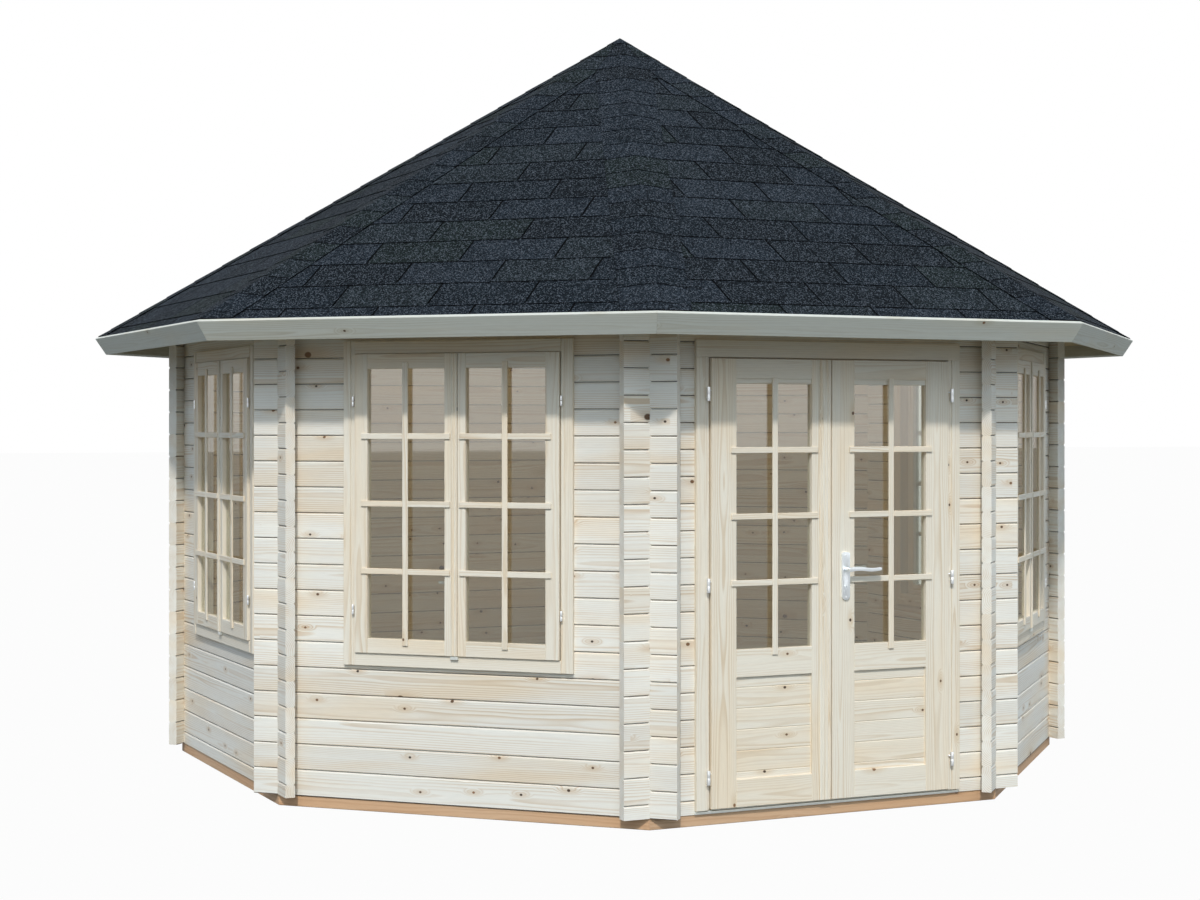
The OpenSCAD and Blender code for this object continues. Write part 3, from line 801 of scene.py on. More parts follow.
@dataclass(frozen=True)
class Shingle:
    """Bitumen felt with a dressing of crushed slate, in six tints that change from tab to tab.

    To the eye that is a near-black, matt sheet with blue-grey to green-grey granules, and a black
    line where it was cut. Real granules are 1 to 2 mm, and these are drawn 4 mm coarse so that they
    show in the render.

    Attributes:
        name: The material's name.
        tints: Ground colours of the tabs.
        grit: Granules per metre.
    """

    name: str = "slate_dressed_bitumen_felt"
    tints: tuple[str, ...] = ("1B2126", "20262C", "1E2525", "23292F", "191E22", "21272A")
    grit: float = 230.0

    def material(self) -> Material:
        """Makes the finish of pieces whose faces carry the tint attribute.

        Returns:
            The material.
        """
        graph = Graph(self.name)
        position = graph.add("TexCoord").outputs["Object"]
        tone = graph.add("Attribute", attribute_name=TINT).outputs["Fac"]
        tinted = graph.add("ValToRGB", (tone,))
        ramp = tinted.color_ramp
        ramp.interpolation = "CONSTANT"
        ramp.elements[0].color = colour(self.tints[0])
        # Cut edges are black bitumen; the same black on the felt under the tabs is painted shade in the
        # slots between them
        ramp.elements[1].position, ramp.elements[1].color = DRESSED, colour("07090B")
        for i, text in enumerate(self.tints[1:], start=1):
            ramp.elements.new(i * DRESSED / len(self.tints)).color = colour(text)
        grains = graph.add("TexVoronoi", {"Vector": position, "Scale": self.grit})
        chips = graph.add("SeparateColor", (grains.outputs["Color"],)).outputs
        light = graph.add("MapRange", (chips[0], 0.0, 1.0, 0.1, 1.5))
        cloud = graph.add("TexNoise", {"Vector": position, "Scale": 9.0, "Detail": 3.0})
        worn = graph.add("MapRange", (cloud, 0.3, 0.7, 0.85, 1.15))
        level = graph.add("Math", (light, worn), operation="MULTIPLY")
        ground = graph.add("VectorMath", (tinted, level), operation="MULTIPLY")
        # One granule in six is pale slate, and none of them is on a cut edge
        spark = graph.add("Math", (chips[1], 0.82), operation="GREATER_THAN")
        dressed = graph.add("Math", (tone, DRESSED), operation="LESS_THAN")
        here = graph.add("Math", (spark, dressed), operation="MULTIPLY")
        sparkle = graph.add("Math", (here, 0.35), operation="MULTIPLY")
        pale = graph.add("MixRGB", (sparkle, ground, colour("7C848E")))
        bump = graph.add("Bump", {"Strength": 0.5, "Distance": 0.0015, "Height": chips[2]})
        return graph.close(graph.add("BsdfPrincipled", {
            "Base Color": pale, "Roughness": 0.9, "Specular IOR Level": 0.03, "Normal": bump}))


@dataclass(frozen=True)
class Metal:
    """A metal surface whose roughness changes slightly over it.

    Attributes:
        name: The material's name, with how it was made.
        tone: Its colour.
        roughness: Mean roughness.
        spread: Half the change of the roughness.
        scale: Patches per metre of that change.
    """

    name: str
    tone: str
    roughness: float
    spread: float
    scale: float

    def material(self) -> Material:
        """Makes the finish.

        Returns:
            The material.
        """
        graph = Graph(self.name)
        position = graph.add("TexCoord").outputs["Object"]
        noise = graph.add("TexNoise", {"Vector": position, "Scale": self.scale, "Detail": 3.0})
        low, high = self.roughness - self.spread, self.roughness + self.spread
        rough = graph.add("MapRange", (noise, 0.3, 0.7, low, high))
        level = graph.add("MapRange", (noise, 0.3, 0.7, 0.92, 1.0))
        tone = graph.add("VectorMath", (colour(self.tone)[:3], level), operation="MULTIPLY")
        bump = graph.add("Bump", {"Strength": 0.08, "Distance": 0.0002, "Height": noise})
        return graph.close(graph.add(
            "BsdfPrincipled", {"Base Color": tone, "Metallic": 1.0, "Roughness": rough, "Normal": bump}))


def float_glass() -> Material:
    """Double glazing of float glass, a pale veil over the room to the eye, with a green-grey cast.

    A glazing unit mirrors at four surfaces, which together send back a seventh of the light. The
    higher index stands for them, and the limit keeps the room in view through the side window.

    Returns:
        The material. Shadow rays pass, so that the room behind it is lit.
    """
    graph = Graph("clear_float_glass")
    position = graph.add("TexCoord").outputs["Object"]
    noise = graph.add("TexNoise", {"Vector": position, "Scale": 1.6, "Detail": 1.0})
    bump = graph.add("Bump", {"Strength": 0.05, "Distance": 0.002, "Height": noise})
    through = graph.add("BsdfTransparent", {"Color": colour("F0F2EE")})
    mirror = graph.add("BsdfGlossy", {"Color": (1, 1, 1, 1), "Roughness": 0.02, "Normal": bump})
    edge_on = graph.add("Fresnel", {"IOR": 2.25})
    limited = graph.add("Math", (edge_on, 0.17), operation="MINIMUM")
    return graph.close(graph.add("MixShader", (limited, through, mirror)))


class Finishes:
    """Every finish of the gazebo, made once."""

    def __init__(self) -> None:
        """Makes them. The logs' finish is made face by face later on."""
        self.logs = Wood("planed_spruce_logs", "EEEAE0", "C6A478", contrast=0.65, knots=0.75)
        self.joinery = Wood(
            "planed_spruce_joinery", "EDE4D3", "CCAE85", ring=6.0, contrast=0.6, knots=0.35).from_boards()
        # The fascia's spruce is greyer and darker than the other spruce. Part of that is painted shade,
        # as its face looks out and down, away from the main light
        self.fascia = Wood(
            "planed_spruce_fascia", "D3D3C9", "B3A88E", "D5C8AE", contrast=0.5).from_boards()
        self.roof_wood = Wood("planed_spruce_roof_boards", "E2D2B0", "C6A577").from_boards()
        self.floor_wood = Wood("planed_spruce_floor_boards", "DCC9A3", "BE9A6C").from_boards()
        self.treated = Wood(
            "pressure_treated_pine_beams", "D6B18D", "B0805A", "D3A57A", knots=0.5).from_boards()
        self.joists = Wood("pressure_treated_pine_joists", "D6B18D", "B0805A", "D3A57A").from_object()
        self.block_wood = Wood("planed_spruce_block", "E2D2B0", "C6A577").from_object()
        self.shingles = Shingle().material()
        self.zinc = Metal("zinc_plated_steel", "EFF1F4", 0.5, 0.08, 260.0).material()
        self.handle = Metal("satin_anodised_aluminium", "F3F8FC", 0.42, 0.05, 120.0).material()
        self.sill = Metal("mill_finish_aluminium", "E3E7E4", 0.5, 0.08, 90.0).material()
        self.glass = float_glass()


# Sub-assemblies


@dataclass
class Assembly:
    """What every sub-assembly is made of.

    Attributes:
        finishes: Every finish.
        rng: Source of grain and tints.
    """

    finishes: Finishes
    rng: random.Random

    def build(self) -> None:
        """Makes its pieces and dresses its CAD nodes."""
        raise NotImplementedError


@dataclass
class LogWalls(Assembly):
    """The eight log walls, whose shape is the CAD's.

    Attributes:
        beside_door: The pieces of the door's wall.
    """

    beside_door: tuple[str, ...] = ("door_wall_left", "door_wall_right", "door_wall_lintel")

    def build(self) -> None:
        """Dresses each wall with logs of its own direction."""
        for k, face in enumerate(FACES):
            material = self.finishes.logs.from_logs(k)
            for node in (f"{face}_wall",) if k else self.beside_door:
                dress(node, material)


@dataclass
class Base(Assembly):
    """Treated beams on the ground, the joists, and the boarded floor.

    Attributes:
        beam_w: Width of the beams.
        beam_spare: Length that is mitred off each end of a beam, and more.
        setback: Their setback behind the logs.
        board_w: Visible width of a floor board.
        floor_apothem: Distance from the centre to the floor's edges.
        floor_spare: How far the floor boards are drawn past that edge.
    """

    beam_w: float = 70.0
    beam_spare: float = 60.0
    setback: float = 5.0
    board_w: float = 96.0
    floor_apothem: float = 2074.0
    floor_spare: float = 5.0

    def build(self) -> None:
        """Makes the beams, dresses the joists and lays the floor."""
        half = CORNER + self.beam_spare
        out = (-self.setback - self.beam_w, -self.setback)
        beam = Board((-half, half), out, (-BASE_H, 0), Grain.ACROSS, 2.5).build(self.rng)
        mitre(beam)
        beams = on_all_faces(beam, "base_beams", self.rng)
        hand_over(beams, self.finishes.treated, "gazebo", "treated_wood", "base_frame")
        dress("floor_joists", self.finishes.joists)
        self.floor()

    def floor(self) -> None:
        """Lays boards that run from front to back and cuts them to the octagon."""
        count = math.ceil(2 * self.floor_apothem / self.board_w)
        reach = self.floor_apothem + self.floor_spare
        edges = [(i - count / 2) * self.board_w for i in range(count + 1)]
        floor = build_boards([
            Board(t, (-reach - APOTHEM, reach - APOTHEM), (0, FLOOR_T), Grain.OUT)
            for t in zip(edges, edges[1:])], "floor_planks", self.rng)
        for k in range(SIDES):
            normal = on_face(k) @ Vector((0, -1, 0))
            cut(floor, normal * self.floor_apothem * MM, normal)
        hand_over(floor, self.finishes.floor_wood, "gazebo", "floor_wood", "floor_boards")


@dataclass
class Roof(Assembly):
    """Rafters, boards, fascia and shingles.

    Attributes:
        board_w: Visible width of a roof board.
        exposure: Visible height of a shingle course.
        starter: Height of the first course line above the fascia's outer top edge.
        tab_w: Width of a shingle tab with its slot.
        tab_t: Thickness of a tab.
        slot: Width of the slot between two tabs.
        lap: How far a tab runs under the course above.
        slot_shade_felt_h: Limits of the felt under the tabs, square to the slope. The felt is black all
            round, which is painted shade in the slots between the tabs.
        cap_step: Visible length of a hip cap, up the slope.
        cap_start: Height of the first cap's lower edge.
        cap_reach: Width of a cap on each side of the hip, along u.
        cap_arch: How much lower a cap's outer corners lie than its middle.
        cap_lap: How far a cap runs under the next one.
        cap_h: Limits of a cap's lower end, square to the slope.
        cap_sink: How much lower its upper end lies.
    """

    board_w: float = 96.0
    exposure: float = 198.0
    starter: float = 98.0
    tab_w: float = 443.0
    tab_t: float = 3.6
    slot: float = 7.0
    lap: float = 28.0
    slot_shade_felt_h: Limits = (-7.9, -5.2)
    cap_step: float = 157.0
    cap_start: float = 92.0
    cap_reach: float = 158.0
    cap_arch: float = 36.0
    cap_lap: float = 34.0
    cap_h: Limits = (0.2, 4.0)
    cap_sink: float = 3.2

    def build(self) -> None:
        """Makes the whole roof."""
        self.carpentry()
        self.covering()
        self.caps()

    def slope_boards(self, edges: list[float], h: Limits, edge: float, name: str) -> Object:
        """Boards across all eight slopes, cut off at the hips.

        Args:
            edges: The lines up the slope where one board ends and the next one starts.
            h: Limits square to the slope.
            edge: Width of the bevel on their edges.
            name: The name of the joined boards.

        Returns:
            The joined boards.
        """
        boards = []
        for low, high in zip(edges, edges[1:]):
            half = (SLOPE_L - low) * HIP_RUN + FASCIA_W
            board = box_mesh(Vector((-half, low, h[0])), Vector((half, high, h[1])), edge)
            on_edge = high - low < h[1] - h[0]
            write_grain(board, (0, 2, 1) if on_edge else (0, 1, 2), place_in_tree(self.rng, False))
            board.data.transform(on_slope())
            boards.append(board)
        slope = join(boards, f"{name}_slope")
        mitre(slope)
        return on_all_faces(slope, name, self.rng)

    def carpentry(self) -> None:
        """Makes fascia, roof boards and rafters, and dresses the king block."""
        fascia = self.slope_boards([0, FASCIA_T], (-FASCIA_W, 0), 1.5, "fascia")
        hand_over(fascia, self.finishes.fascia, "gazebo", "fascia_wood", "fascia_boards")
        count = math.ceil((SLOPE_L - EAVES_UP) / self.board_w)
        edges = [min(EAVES_UP + i * self.board_w, SLOPE_L + PAST_PEAK) for i in range(count + 1)]
        boards = self.slope_boards(edges, (-SHINGLE_T - BOARD_T, -SHINGLE_T), 2.5, "roof_boarding")
        hand_over(boards, self.finishes.roof_wood, "gazebo", "roof_wood", "roof_boards")
        rafters = cad_copy("rafters", "hip_rafters", 2.0, 1)
        # In metres: a rafter's place in its tree, the next one's distance, its fall and its peak
        along, beside, apart, fall, peak = 20.0, 0.012, 2.3, 0.58, 3.62
        values = []
        for vertex in rafters.data.vertices:
            k = round((math.atan2(vertex.co.y, vertex.co.x) - HALF_TURN) / TURN)
            flat = Matrix.Rotation(-k * TURN - HALF_TURN, 4, "Z") @ vertex.co
            values.append(Vector((
                flat.x + apart * k + along, flat.y + beside, flat.z + fall * flat.x - peak)))
        write_vectors(rafters, GRAIN, values)
        hand_over(rafters, self.finishes.roof_wood, "gazebo", "roof_wood", "rafters")
        dress("king_block", self.finishes.block_wood)

    def tab(self) -> Object:
        """One shingle tab, flat, with its lower left corner at the origin and its upper end sunk.

        Returns:
            The tab.
        """
        length = self.exposure + self.lap
        low = Vector((self.slot / 2, 0, -self.tab_t))
        tab = box_mesh(low, Vector((self.tab_w - self.slot / 2, length, 0)), 1.0)
        mark_edges(tab)
        for vertex in tab.data.vertices:
            if vertex.co.y > length / 2 * MM:
                vertex.co.z -= (self.tab_t + 0.5) * MM
        return tab

    def bond(self, model: Object, parity: int) -> Object:
        """Lays the tabs of one slope on their felt.

        Args:
            model: The tab that is copied.
            parity: 0 or 1. It says which courses start with half a tab.

        Returns:
            The shingles of face 0.
        """
        parts = []
        for row in range(-1, math.ceil((SLOPE_L - self.starter) / self.exposure)):
            up = self.starter + row * self.exposure
            half = (SLOPE_L - max(up, 0)) * HIP_RUN + PAST_HIP
            shift = 0 if (row + parity) % 2 == 0 else self.tab_w / 2
            first = math.floor((-half - shift) / self.tab_w)
            last = math.ceil((half - shift) / self.tab_w)
            for i in range(first, last):
                place = Vector((shift + i * self.tab_w, up, 0)) * MM
                parts.append(copy_of(model, Matrix.Translation(place)))
                tint(parts[-1], 1.0, self.rng.random())
        half = SLOPE_L * HIP_RUN + PAST_HIP
        low, high = self.slot_shade_felt_h
        # Painted shade: the felt is black all round, so that the slots between tabs look dark as they do
        # in shade
        felt = box_mesh(Vector((-half, 0, low)), Vector((half, SLOPE_L + PAST_PEAK, high)), 0.5)
        mark_edges(felt, dressed=False)
        slope = join(parts + [felt], f"bond_{parity}")
        cut(slope, Vector((0, EAVES_UP * MM, 0)), Vector((0, -1, 0)))
        slope.data.transform(on_slope())
        mitre(slope)
        return slope

    def covering(self) -> None:
        """Lays the shingles in both bonds and copies them onto the eight slopes in turn."""
        model = self.tab()
        slopes = [self.bond(model, parity) for parity in (0, 1)]
        for k in range(SIDES):
            slope = copy_of(slopes[(k + 1) % 2], on_face(k), f"shingles_slope_{k}")
            tint(slope, 7.31, 0.37 * k)
            hand_over(slope, self.finishes.shingles, "gazebo", "shingles", "roof_shingles")
        for used in [model] + slopes:
            bpy.data.objects.remove(used)

    def cap(self, up: float, arch: float, length: float) -> Object:
        """One folded hip cap over the hip between face 0 and face 1, turned so that the hip is at x = 0.

        Args:
            up: Height of its lower edge at the hip, up the slope.
            arch: How much lower its outer corners lie.
            length: Its whole length.

        Returns:
            The cap.
        """
        low = Vector((-self.cap_reach, 0, self.cap_h[0]))
        half = box_mesh(low, Vector((12, length, self.cap_h[1])), 1.0)
        mark_edges(half)
        for vertex in half.data.vertices:
            u, y, h = (c / MM for c in vertex.co)
            rise = y - arch * max(0.0, -u) / self.cap_reach
            sink = self.cap_sink * y / length
            hip = (SLOPE_L - up - rise) * HIP_RUN
            vertex.co = Vector((hip + u, up + rise, h - sink)) * MM
        half.data.transform(on_face(-0.5) @ on_slope())
        mirror = half.modifiers.new("other_side", "MIRROR")
        mirror.use_bisect_axis[0] = True
        mirror.use_bisect_flip_axis[0] = True
        mirror.use_clip = True
        mirror.merge_threshold = 1e-5
        pick(half)
        bpy.ops.object.modifier_apply(modifier=mirror.name)
        return half

    def caps(self) -> None:
        """Lays the caps up one hip and copies them onto the eight hips."""
        row = [self.cap(EAVES_UP, 0, self.cap_start - EAVES_UP + self.cap_lap)]
        model = self.cap(self.cap_start, self.cap_arch, self.cap_step + self.cap_lap)
        lying = (on_face(-0.5) @ on_slope()).to_3x3()
        along = (lying @ Vector((-HIP_RUN, 1, 0))) * self.cap_step * MM
        count = math.ceil((SLOPE_L - self.cap_start) / self.cap_step)
        row += [copy_of(model, Matrix.Translation(along * i)) for i in range(count)]
        for cap in row:
            tint(cap, 1.0, self.rng.random())
        hip = join(row, "hip")
        mitre(hip)
        for k in range(SIDES):
            caps = copy_of(hip, on_face(k + 0.5), f"hip_caps_{k}")
            tint(caps, 5.17, 0.29 * k)
            hand_over(caps, self.finishes.shingles, "gazebo", "shingles", "hip_caps")
        for used in (model, hip):
            bpy.data.objects.remove(used)


def trim(inner: float, outer: float, z: Limits) -> list[Board]:
    """An upright trim board on the right, with a lower step along its inner edge.

    Args:
        inner: Inner edge along t.
        outer: Outer edge along t.
        z: Limits in height.

    Returns:
        Its two strips.
    """
    step = inner + 20.0
    return [Board((inner, step), (FIT, 16.5), z), Board((step, outer), TRIM_OUT, z)]


def lattice(t: Limits, z: Limits) -> list[Board]:
    """Glazing bars over one pane, with the cross bars butted to the upright one.

    Args:
        t: Limits of the pane along the face.
        z: Limits of the pane in height.

    Returns:
        The bars.
    """
    rows, half, lap, out = 4, 13.0, 28.0, (30.0, 38.0)
    middle = sum(t) / 2
    bars = [Board((middle - half, middle + half), out, (z[0] - lap, z[1] + lap), Grain.UP, 2.0)]
    for i in range(1, rows):
        height = z[0] + i * (z[1] - z[0]) / rows
        for ends in ((t[0] - lap, middle - half), (middle + half, t[1] + lap)):
            bars.append(Board(ends, out, (height - half, height + half), Grain.ACROSS, 2.0))
    return bars


def cover_strip(t: Limits, z: Limits) -> list[Board]:
    """A strip over the joint of two leaves, in four ridges with grooves between them.

    Args:
        t: Limits along the face.
        z: Limits in height.

    Returns:
        The ridges.
    """
    width, out = t[1] - t[0], (30, 36)
    shares = (0.0, 0.24, 0.5, 0.76, 1.0)
    return [Board((t[0] + a * width, t[0] + b * width), out, z, Grain.UP, 2.6)
            for a, b in zip(shares, shares[1:])]


@dataclass
class DoorFrame(Assembly):
    """Lining, stops and trims of the door, and the aluminium sill.

    Attributes:
        inner: Half the clear width of the frame.
        trim_w: Width of the trims beside the door.
        head: Clear height of the frame.
        top: Upper edge of the trims over the door.
        foot: Lower end of the outer trims.
        seat: Outer face of the stops.
        stop: Half the clear width between the stops.
        stop_head: Clear height under the upper stop.
    """

    inner: float = 605.5
    trim_w: float = 62.0
    head: float = 1940.5
    top: float = 2013.75
    foot: float = 16.0
    seat: float = -15.5
    stop: float = 588.0
    stop_head: float = 1923.0

    def build(self) -> None:
        """Makes the frame and its sill."""
        lining, outer = self.inner + LINING_T, self.inner + self.trim_w
        reach, floor = self.head + LINING_T, FLOOR_T + FIT
        rim, stops = (self.seat, FIT), (ROOM_TRIM_OUT[0], self.seat)
        right = trim(self.inner, outer, (self.foot, self.head)) + [
            Board((self.inner, lining), rim, (0, self.head)),
            Board((self.stop, lining), stops, (floor, self.stop_head)),
            Board((lining, outer), ROOM_TRIM_OUT, (floor, self.head))]
        head = [Board((-half, half), out, z, Grain.ACROSS) for half, out, z in (
            (outer, TRIM_OUT, (self.head, self.top)),
            (lining, rim, (self.head, reach)),
            (lining, stops, (self.stop_head, reach)),
            (outer, ROOM_TRIM_OUT, (reach, self.top)))]
        piece = build_boards(right + mirrored(right) + head, "door_frame_joinery", self.rng)
        hand_over(piece, self.finishes.joinery, "gazebo", "joinery_wood", "door_frame")
        sill = cad_copy("threshold", "door_sill", 0.8)
        hand_over(sill, self.finishes.sill, "gazebo", "aluminium", "threshold")


@dataclass
class DoorLeaf(Assembly):
    """One leaf of the double door with its glazing bars.

    Attributes:
        side: -1 for the left leaf and 1 for the right one.
        glass: Distance of the glass's edges from the middle of the door.
        glass_z: Limits of the glass in height.
        z: Underside and top of the leaf.
        hinge_edge: Distance of the edge at the hinges from the middle of the door.
        meet: Where the left leaf ends and the right one starts.
        bead: Height of the bead over the glass.
        bottom_rail: Upper edge of the bottom rail.
        mid_rail: Lower edge of the middle rail.
        panel_board: Visible height of a panel board.
        tongue: How far the panel boards run into stiles and rails.
        strip_w: Width of the strip over the joint of the leaves.
    """

    side: int
    glass: Limits = (108.0, 480.0)
    glass_z: Limits = (693.0, 1828.0)
    z: Limits = (22.0, 1935.0)
    hinge_edge: float = 600.0
    meet: Limits = (-14.0, -6.0)
    bead: float = 22.0
    bottom_rail: float = 140.0
    mid_rail: float = 575.0
    panel_board: float = 90.0
    tongue: float = 8.0
    strip_w: float = 56.0

    @property
    def pane(self) -> Limits:
        """Limits of the glass along the face."""
        return self.glass if self.side > 0 else (-self.glass[1], -self.glass[0])

    def boards(self) -> list[Board]:
        """Stiles, rails and panel boards, and on the left leaf the strip over the joint.

        Returns:
            The boards.
        """
        (g0, g1), (low, high) = self.pane, self.z
        t0, t1 = (self.meet[1], self.hinge_edge) if self.side > 0 else (-self.hinge_edge, self.meet[0])
        top = self.glass_z[1] + self.bead
        boards = [Board((t0, g0), LEAF_OUT, self.z), Board((g1, t1), LEAF_OUT, self.z)]
        boards += [Board((g0, g1), out, z, Grain.ACROSS) for out, z in (
            (LEAF_OUT, (top, high)),
            ((-10, 26), (self.glass_z[1], top)),
            (LEAF_OUT, (self.mid_rail, self.glass_z[0])),
            (LEAF_OUT, (low, self.bottom_rail)))]
        line = self.mid_rail - self.panel_board / 2
        lines = [self.mid_rail + self.tongue]
        while line > self.bottom_rail:
            lines.append(line)
            line -= self.panel_board
        lines.append(self.bottom_rail - self.tongue)
        panel = (g0 - self.tongue, g1 + self.tongue)
        boards += [Board(panel, (0, 18), (lower, upper), Grain.ACROSS, 3.0)
                   for upper, lower in zip(lines, lines[1:])]
        if self.side < 0:
            boards += cover_strip((self.meet[0] - self.strip_w, self.meet[0]), self.z)
        return boards

    def build(self) -> None:
        """Makes the leaf and its bars, and dresses its glass."""
        leaf = "left_leaf" if self.side < 0 else "right_leaf"
        body = leaf.replace("leaf", "door")
        for boards, name, node in (
                (self.boards(), f"{leaf}_joinery", leaf),
                (lattice(self.pane, self.glass_z), f"{leaf}_bars", f"{leaf}_grille")):
            piece = build_boards(boards, name, self.rng)
            hand_over(piece, self.finishes.joinery, body, "joinery_wood", node)
        dress(f"{leaf}_glass", self.finishes.glass)


@dataclass
class Ironmongery(Assembly):
    """Hinges, handle plates and levers of the door.

    Attributes:
        keyhole: The slot in the outer plate.
        shoulder: The groove across it, at the lever.
        screws: Along the face, outwards, and in height, for each screw of the outer plate.
    """

    keyhole: Board = Board((58.6, 61.4), (37, 44), (938, 951), edge=0.5)
    shoulder: Board = Board((38, 82), (35.5, 41), (1066.5, 1070), edge=0.3)
    screws: tuple[tuple[float, float, float], ...] = ((60, 38.6, 900), (60, 38.6, 1083))

    def build(self) -> None:
        """Rounds and carves the CAD shapes, adds the screws and dresses all of them."""
        zinc, handle = self.finishes.zinc, self.finishes.handle
        for node, body in (("frame_hinges", "gazebo"), ("left_leaf_hinges", "left_door"),
                           ("right_leaf_hinges", "right_door")):
            hand_over(cad_copy(node, f"{node}_rounded", 0.8), zinc, body, "zinc", node)
        plates = cad_copy("handle_plates", "handle_back_plates", 1.6, 3)
        for groove in (self.keyhole, self.shoulder):
            carve(plates, groove.shape())
        hand_over(plates, handle, "right_door", "handle_metal", "handle_plates")
        screws = join([rod(middle, 3.8, 1.6, 90, 0.5) for middle in self.screws], "plate_screws")
        hand_over(screws, zinc, "right_door", "handle_metal")
        lever = cad_copy("handle_lever", "lever_pair", 3.0, 3)
        hand_over(lever, handle, "lever", "handle_metal", "handle_lever")


@dataclass
class Windows(Assembly):
    """The four casement windows, made once on face 0.

    Attributes:
        faces: The faces with a window.
        inner: Half the clear width of the frame.
        clear: Limits in height of the clear opening.
        trim_w: Width of the trims.
        seat: Outer face of the stops.
        stop: Half the clear width between the stops.
        stop_z: Limits in height of the opening between the stops.
        sashes: The left edge of each sash, both edges of its glass, and its right edge.
        sash_z: Limits in height of the sashes.
        glass_z: Limits in height of their glass.
        strip: Limits of the strip over the joint of the sashes, along the face.
        catch: The catch inside the left sash.
        block: The block under the middle that holds the sashes shut.
        hinge_at: Middle of the hinges' sleeves, from the window's middle and outwards.
        hinge_z: Heights of the hinges.
        sleeve: Radius and length of each of a hinge's two sleeves.
    """

    faces: tuple[str, ...] = ("front_right", "right", "left", "front_left")
    inner: float = 485.5
    clear: Limits = (649.5, 1964.5)
    trim_w: float = 55.0
    seat: float = -10.3
    stop: float = 472.0
    stop_z: Limits = (663.0, 1951.0)
    sashes: tuple[tuple[float, ...], ...] = ((-481.5, -419, -50, 10.25), (11.75, 50, 419, 481.5))
    sash_z: Limits = (651.0, 1963.0)
    glass_z: Limits = (716.0, 1898.0)
    strip: Limits = (-17.75, 10.25)
    catch: Board = Board((-97, -71), (-27, -11), (959, 973), edge=3.0)
    block: Board = Board((-21, 14), (20.1, 34), (636, 650), edge=1.5)
    hinge_at: Limits = (491.0, 27.0)
    hinge_z: Limits = (840.0, 1755.0)
    sleeve: Limits = (5.5, 21.4)

    def frame_boards(self) -> list[Board]:
        """Trims, lining and stops.

        Returns:
            The boards.
        """
        lining, outer = self.inner + LINING_T, self.inner + self.trim_w
        lined = (self.clear[0] - LINING_T, self.clear[1] + LINING_T)
        full = (self.clear[0] - self.trim_w, self.clear[1] + self.trim_w)
        rim, stops = (self.seat, FIT), (ROOM_TRIM_OUT[0], self.seat)
        right = trim(self.inner, outer, full) + [
            Board((self.inner, lining), rim, lined),
            Board((self.stop, lining), stops, lined),
            Board((lining, outer), ROOM_TRIM_OUT, full)]
        level = []
        for edge, stop_edge, reach, far in zip(self.clear, self.stop_z, lined, full):
            for half, out, z in (
                    (self.inner, TRIM_OUT, (edge, far)), (self.inner, rim, (edge, reach)),
                    (self.stop, stops, (stop_edge, reach)), (lining, ROOM_TRIM_OUT, (reach, far))):
                level.append(Board((-half, half), out, (min(z), max(z)), Grain.ACROSS))
        return right + mirrored(right) + level

    def sash_boards(self) -> list[Board]:
        """Stiles, rails, bars and the cover strip of both sashes.

        Returns:
            The boards.
        """
        boards = []
        for t0, g0, g1, t1 in self.sashes:
            boards += [Board(t, LEAF_OUT, self.sash_z) for t in ((t0, g0), (g1, t1))]
            boards += [Board((g0, g1), LEAF_OUT, z, Grain.ACROSS) for z in (
                (self.sash_z[0], self.glass_z[0]), (self.glass_z[1], self.sash_z[1]))]
            boards += lattice((g0, g1), self.glass_z)
        return boards + cover_strip(self.strip, self.sash_z)

    def hinges(self) -> Object:
        """Four small drill-in hinges beside the sashes, and the catch.

        Returns:
            The hinges, joined.
        """
        parts = [self.catch.shape()]
        t, out = self.hinge_at
        radius, length = self.sleeve
        # The two sleeves of a hinge stand on each other with 1.2 mm between them
        middle = length / 2 + 0.6
        for side, height, rise in product((-1, 1), self.hinge_z, (-middle, middle)):
            parts.append(rod((side * t, out, height + rise), radius, length, 0, 1.0))
        return join(parts, "hinges")

    def build(self) -> None:
        """Makes a window and copies it onto its four faces."""
        wood, zinc, aluminium = self.finishes.joinery, self.finishes.zinc, self.finishes.sill
        frames = build_boards(self.frame_boards(), "window_frame", self.rng)
        sashes = build_boards(self.sash_boards(), "window_sashes", self.rng)
        models = (
            (frames, "frame_joinery", wood, "joinery_wood", ("frame",)),
            (sashes, "sash_joinery", wood, "joinery_wood", ("sashes",)),
            (self.hinges(), "hinges", zinc, "zinc", ()),
            (self.block.shape(), "stop", aluminium, "aluminium", ()))
        for face in self.faces:
            turn, name = on_face(FACES.index(face)), f"{face}_window"
            for model, word, material, slot, nodes in models:
                piece = copy_of(model, turn, f"{name}_{word}")
                if material == wood:
                    shift_grain(piece, self.rng)
                hand_over(piece, material, "gazebo", slot, *(f"{name}_{node}" for node in nodes))
            dress(f"{name}_glass", self.finishes.glass)
        for model, *_ in models:
            bpy.data.objects.remove(model)


# Studio


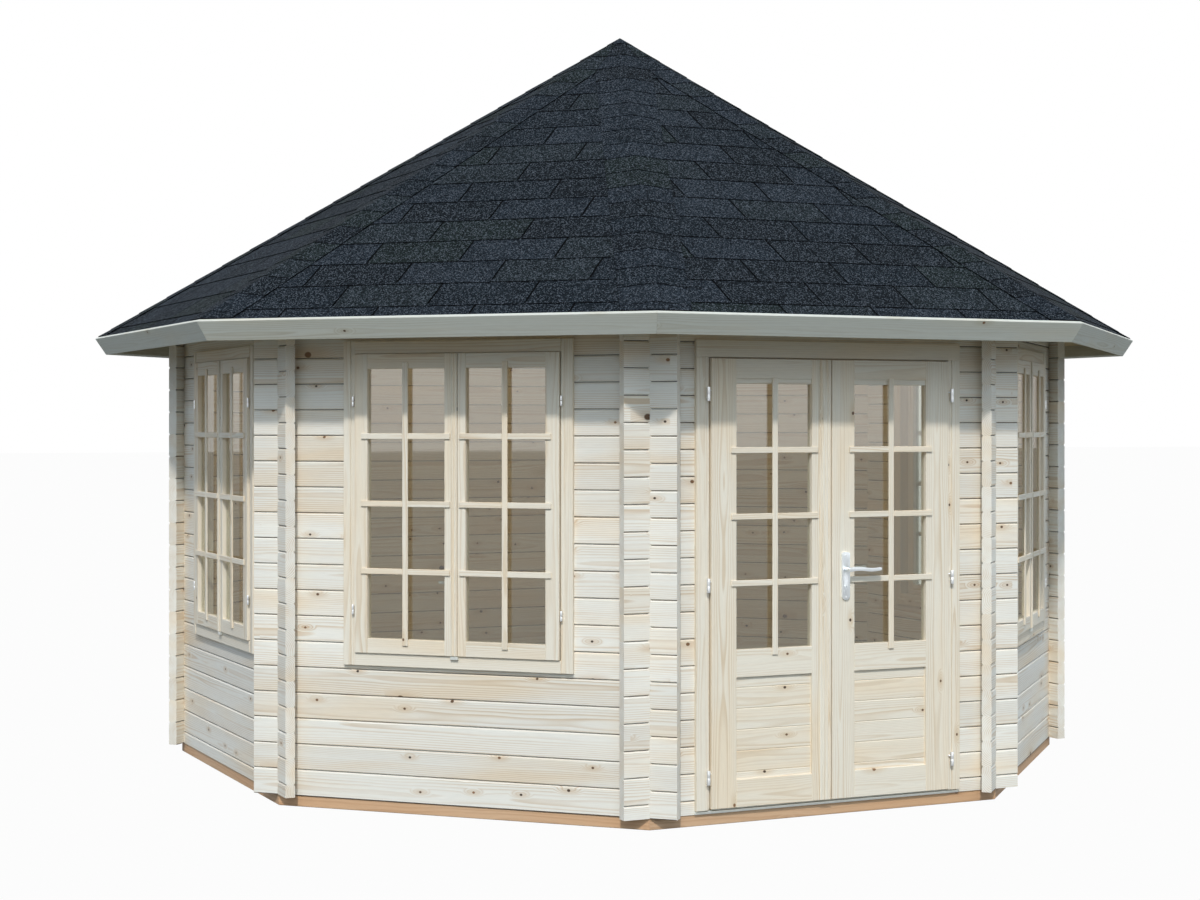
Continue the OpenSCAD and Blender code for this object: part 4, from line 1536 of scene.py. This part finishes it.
@dataclass(frozen=True)
class Studio:
    """Floor, light and camera.

    Attributes:
        camera_at: Place of the camera, in metres.
        heading: Its turn about Z, in degrees.
        lens: Focal length, in millimetres on a 36 mm sensor.
        shift_y: Upward shift of the picture.
        sun_azimuth: Where the main light stands, in degrees from +X.
        sun_height: Its height over the horizon, in degrees.
        sun_strength: Its strength.
        soft_height: Height over the horizon of the wide soft light's middle, in degrees.
        soft_strength: Its strength.
        side_azimuth: Where the second soft light stands, in degrees from +X.
        side_height: Its height over the horizon, in degrees.
        side_strength: Its strength.
        sky_strength: Strength of the light from all sides.
        room_strength: Power of the soft lamp in the room, in watts.
    """

    camera_at: tuple[float, float, float] = (-4.848, -10.104, 1.703)
    heading: float = -25.096
    lens: float = 63.77
    shift_y: float = -0.0211
    sun_azimuth: float = -119.0
    sun_height: float = 44.0
    sun_strength: float = 2.05
    soft_height: float = 30.0
    soft_strength: float = 0.82
    side_azimuth: float = -20.0
    side_height: float = 20.0
    side_strength: float = 0.5
    sky_strength: float = 0.63
    room_strength: float = 20.0

    def build(self) -> None:
        """Sets up floor, light, world and camera."""
        self.floor()
        self.light()
        self.world()
        self.camera()
        bpy.context.scene.view_settings.view_transform = "Standard"

    def floor(self) -> None:
        """A pale floor that keeps the shadow and is close to white for the camera."""
        deselect()
        bpy.ops.mesh.primitive_plane_add(size=240.0, location=(0, 0, 0))
        ground = bpy.context.object
        ground.name = "studio_floor"
        graph = Graph("pale_studio_floor")
        matt = graph.add("BsdfDiffuse", {"Color": colour("6B6D67")})
        # Panes mirror the floor at a third of the sky's strength, as ground outdoors is darker
        camera = graph.add("LightPath").outputs["Is Camera Ray"]
        glow = graph.add("Emission", {"Color": (1, 1, 1, 1), "Strength": 1.0})
        dim = graph.add("Math", (graph.seen_rays(), 0.33), operation="MULTIPLY")
        seen = graph.add("Math", (camera, 0.64, dim), operation="MULTIPLY_ADD")
        ground.data.materials.append(graph.close(graph.add("MixShader", (seen, matt, glow))))

    def light(self) -> None:
        """The main light, two wide soft ones that reach under the eaves, and a room lamp."""
        warm, cool = (1.0, 0.975, 0.93), (0.84, 0.95, 1.0)
        for name, strength, wide, azimuth, height, tone in (
                ("main_light", self.sun_strength, 3.0, self.sun_azimuth, self.sun_height, warm),
                ("soft_light", self.soft_strength, 50.0, self.sun_azimuth, self.soft_height, cool),
                ("side_light", self.side_strength, 50.0, self.side_azimuth, self.side_height, cool)):
            deselect()
            bpy.ops.object.light_add(type="SUN", location=(0, 0, 8))
            lamp = bpy.context.object
            lamp.name = name
            lamp.data.energy = strength
            lamp.data.angle = math.radians(wide)
            lamp.data.color = tone
            turn, rise = math.radians(azimuth), math.radians(height)
            towards = Vector((
                math.cos(turn) * math.cos(rise), math.sin(turn) * math.cos(rise), math.sin(rise)))
            lamp.rotation_euler = towards.to_track_quat("Z", "Y").to_euler()
        deselect()
        bpy.ops.object.light_add(type="POINT", location=(0, 0, 1.9))
        room = bpy.context.object
        room.name = "room_light"
        room.data.energy = self.room_strength
        room.data.shadow_soft_size = 0.5
        room.data.color = (1.0, 0.89, 0.76)
        room.visible_camera = room.visible_glossy = room.visible_transmission = False

    def world(self) -> None:
        """An even sky, seen as white."""
        graph = Graph()
        sky = graph.add("Background", {"Color": colour("CCDFF8"), "Strength": self.sky_strength})
        white = graph.add("Background", {"Color": (1, 1, 1, 1), "Strength": 1.0})
        graph.close(graph.add("MixShader", (graph.seen_rays(), sky, white)))

    def camera(self) -> None:
        """The camera at the photograph's angle."""
        deselect()
        bpy.ops.object.camera_add(location=self.camera_at)
        camera = bpy.context.object
        camera.rotation_euler = (math.radians(90), 0, math.radians(self.heading))
        camera.data.lens = self.lens
        camera.data.sensor_width = 36.0
        camera.data.shift_y = self.shift_y
        bpy.context.scene.camera = camera


def main() -> None:
    """Builds the gazebo and its studio."""
    logging.basicConfig(level=logging.INFO, format="%(message)s")
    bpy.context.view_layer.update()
    Studio().build()
    shared = (Finishes(), random.Random(SEED))
    for assembly in (
            LogWalls(*shared), Base(*shared), Roof(*shared), DoorFrame(*shared),
            DoorLeaf(*shared, -1), DoorLeaf(*shared, 1), Ironmongery(*shared), Windows(*shared)):
        assembly.build()


if __name__ == "__main__":
    main()
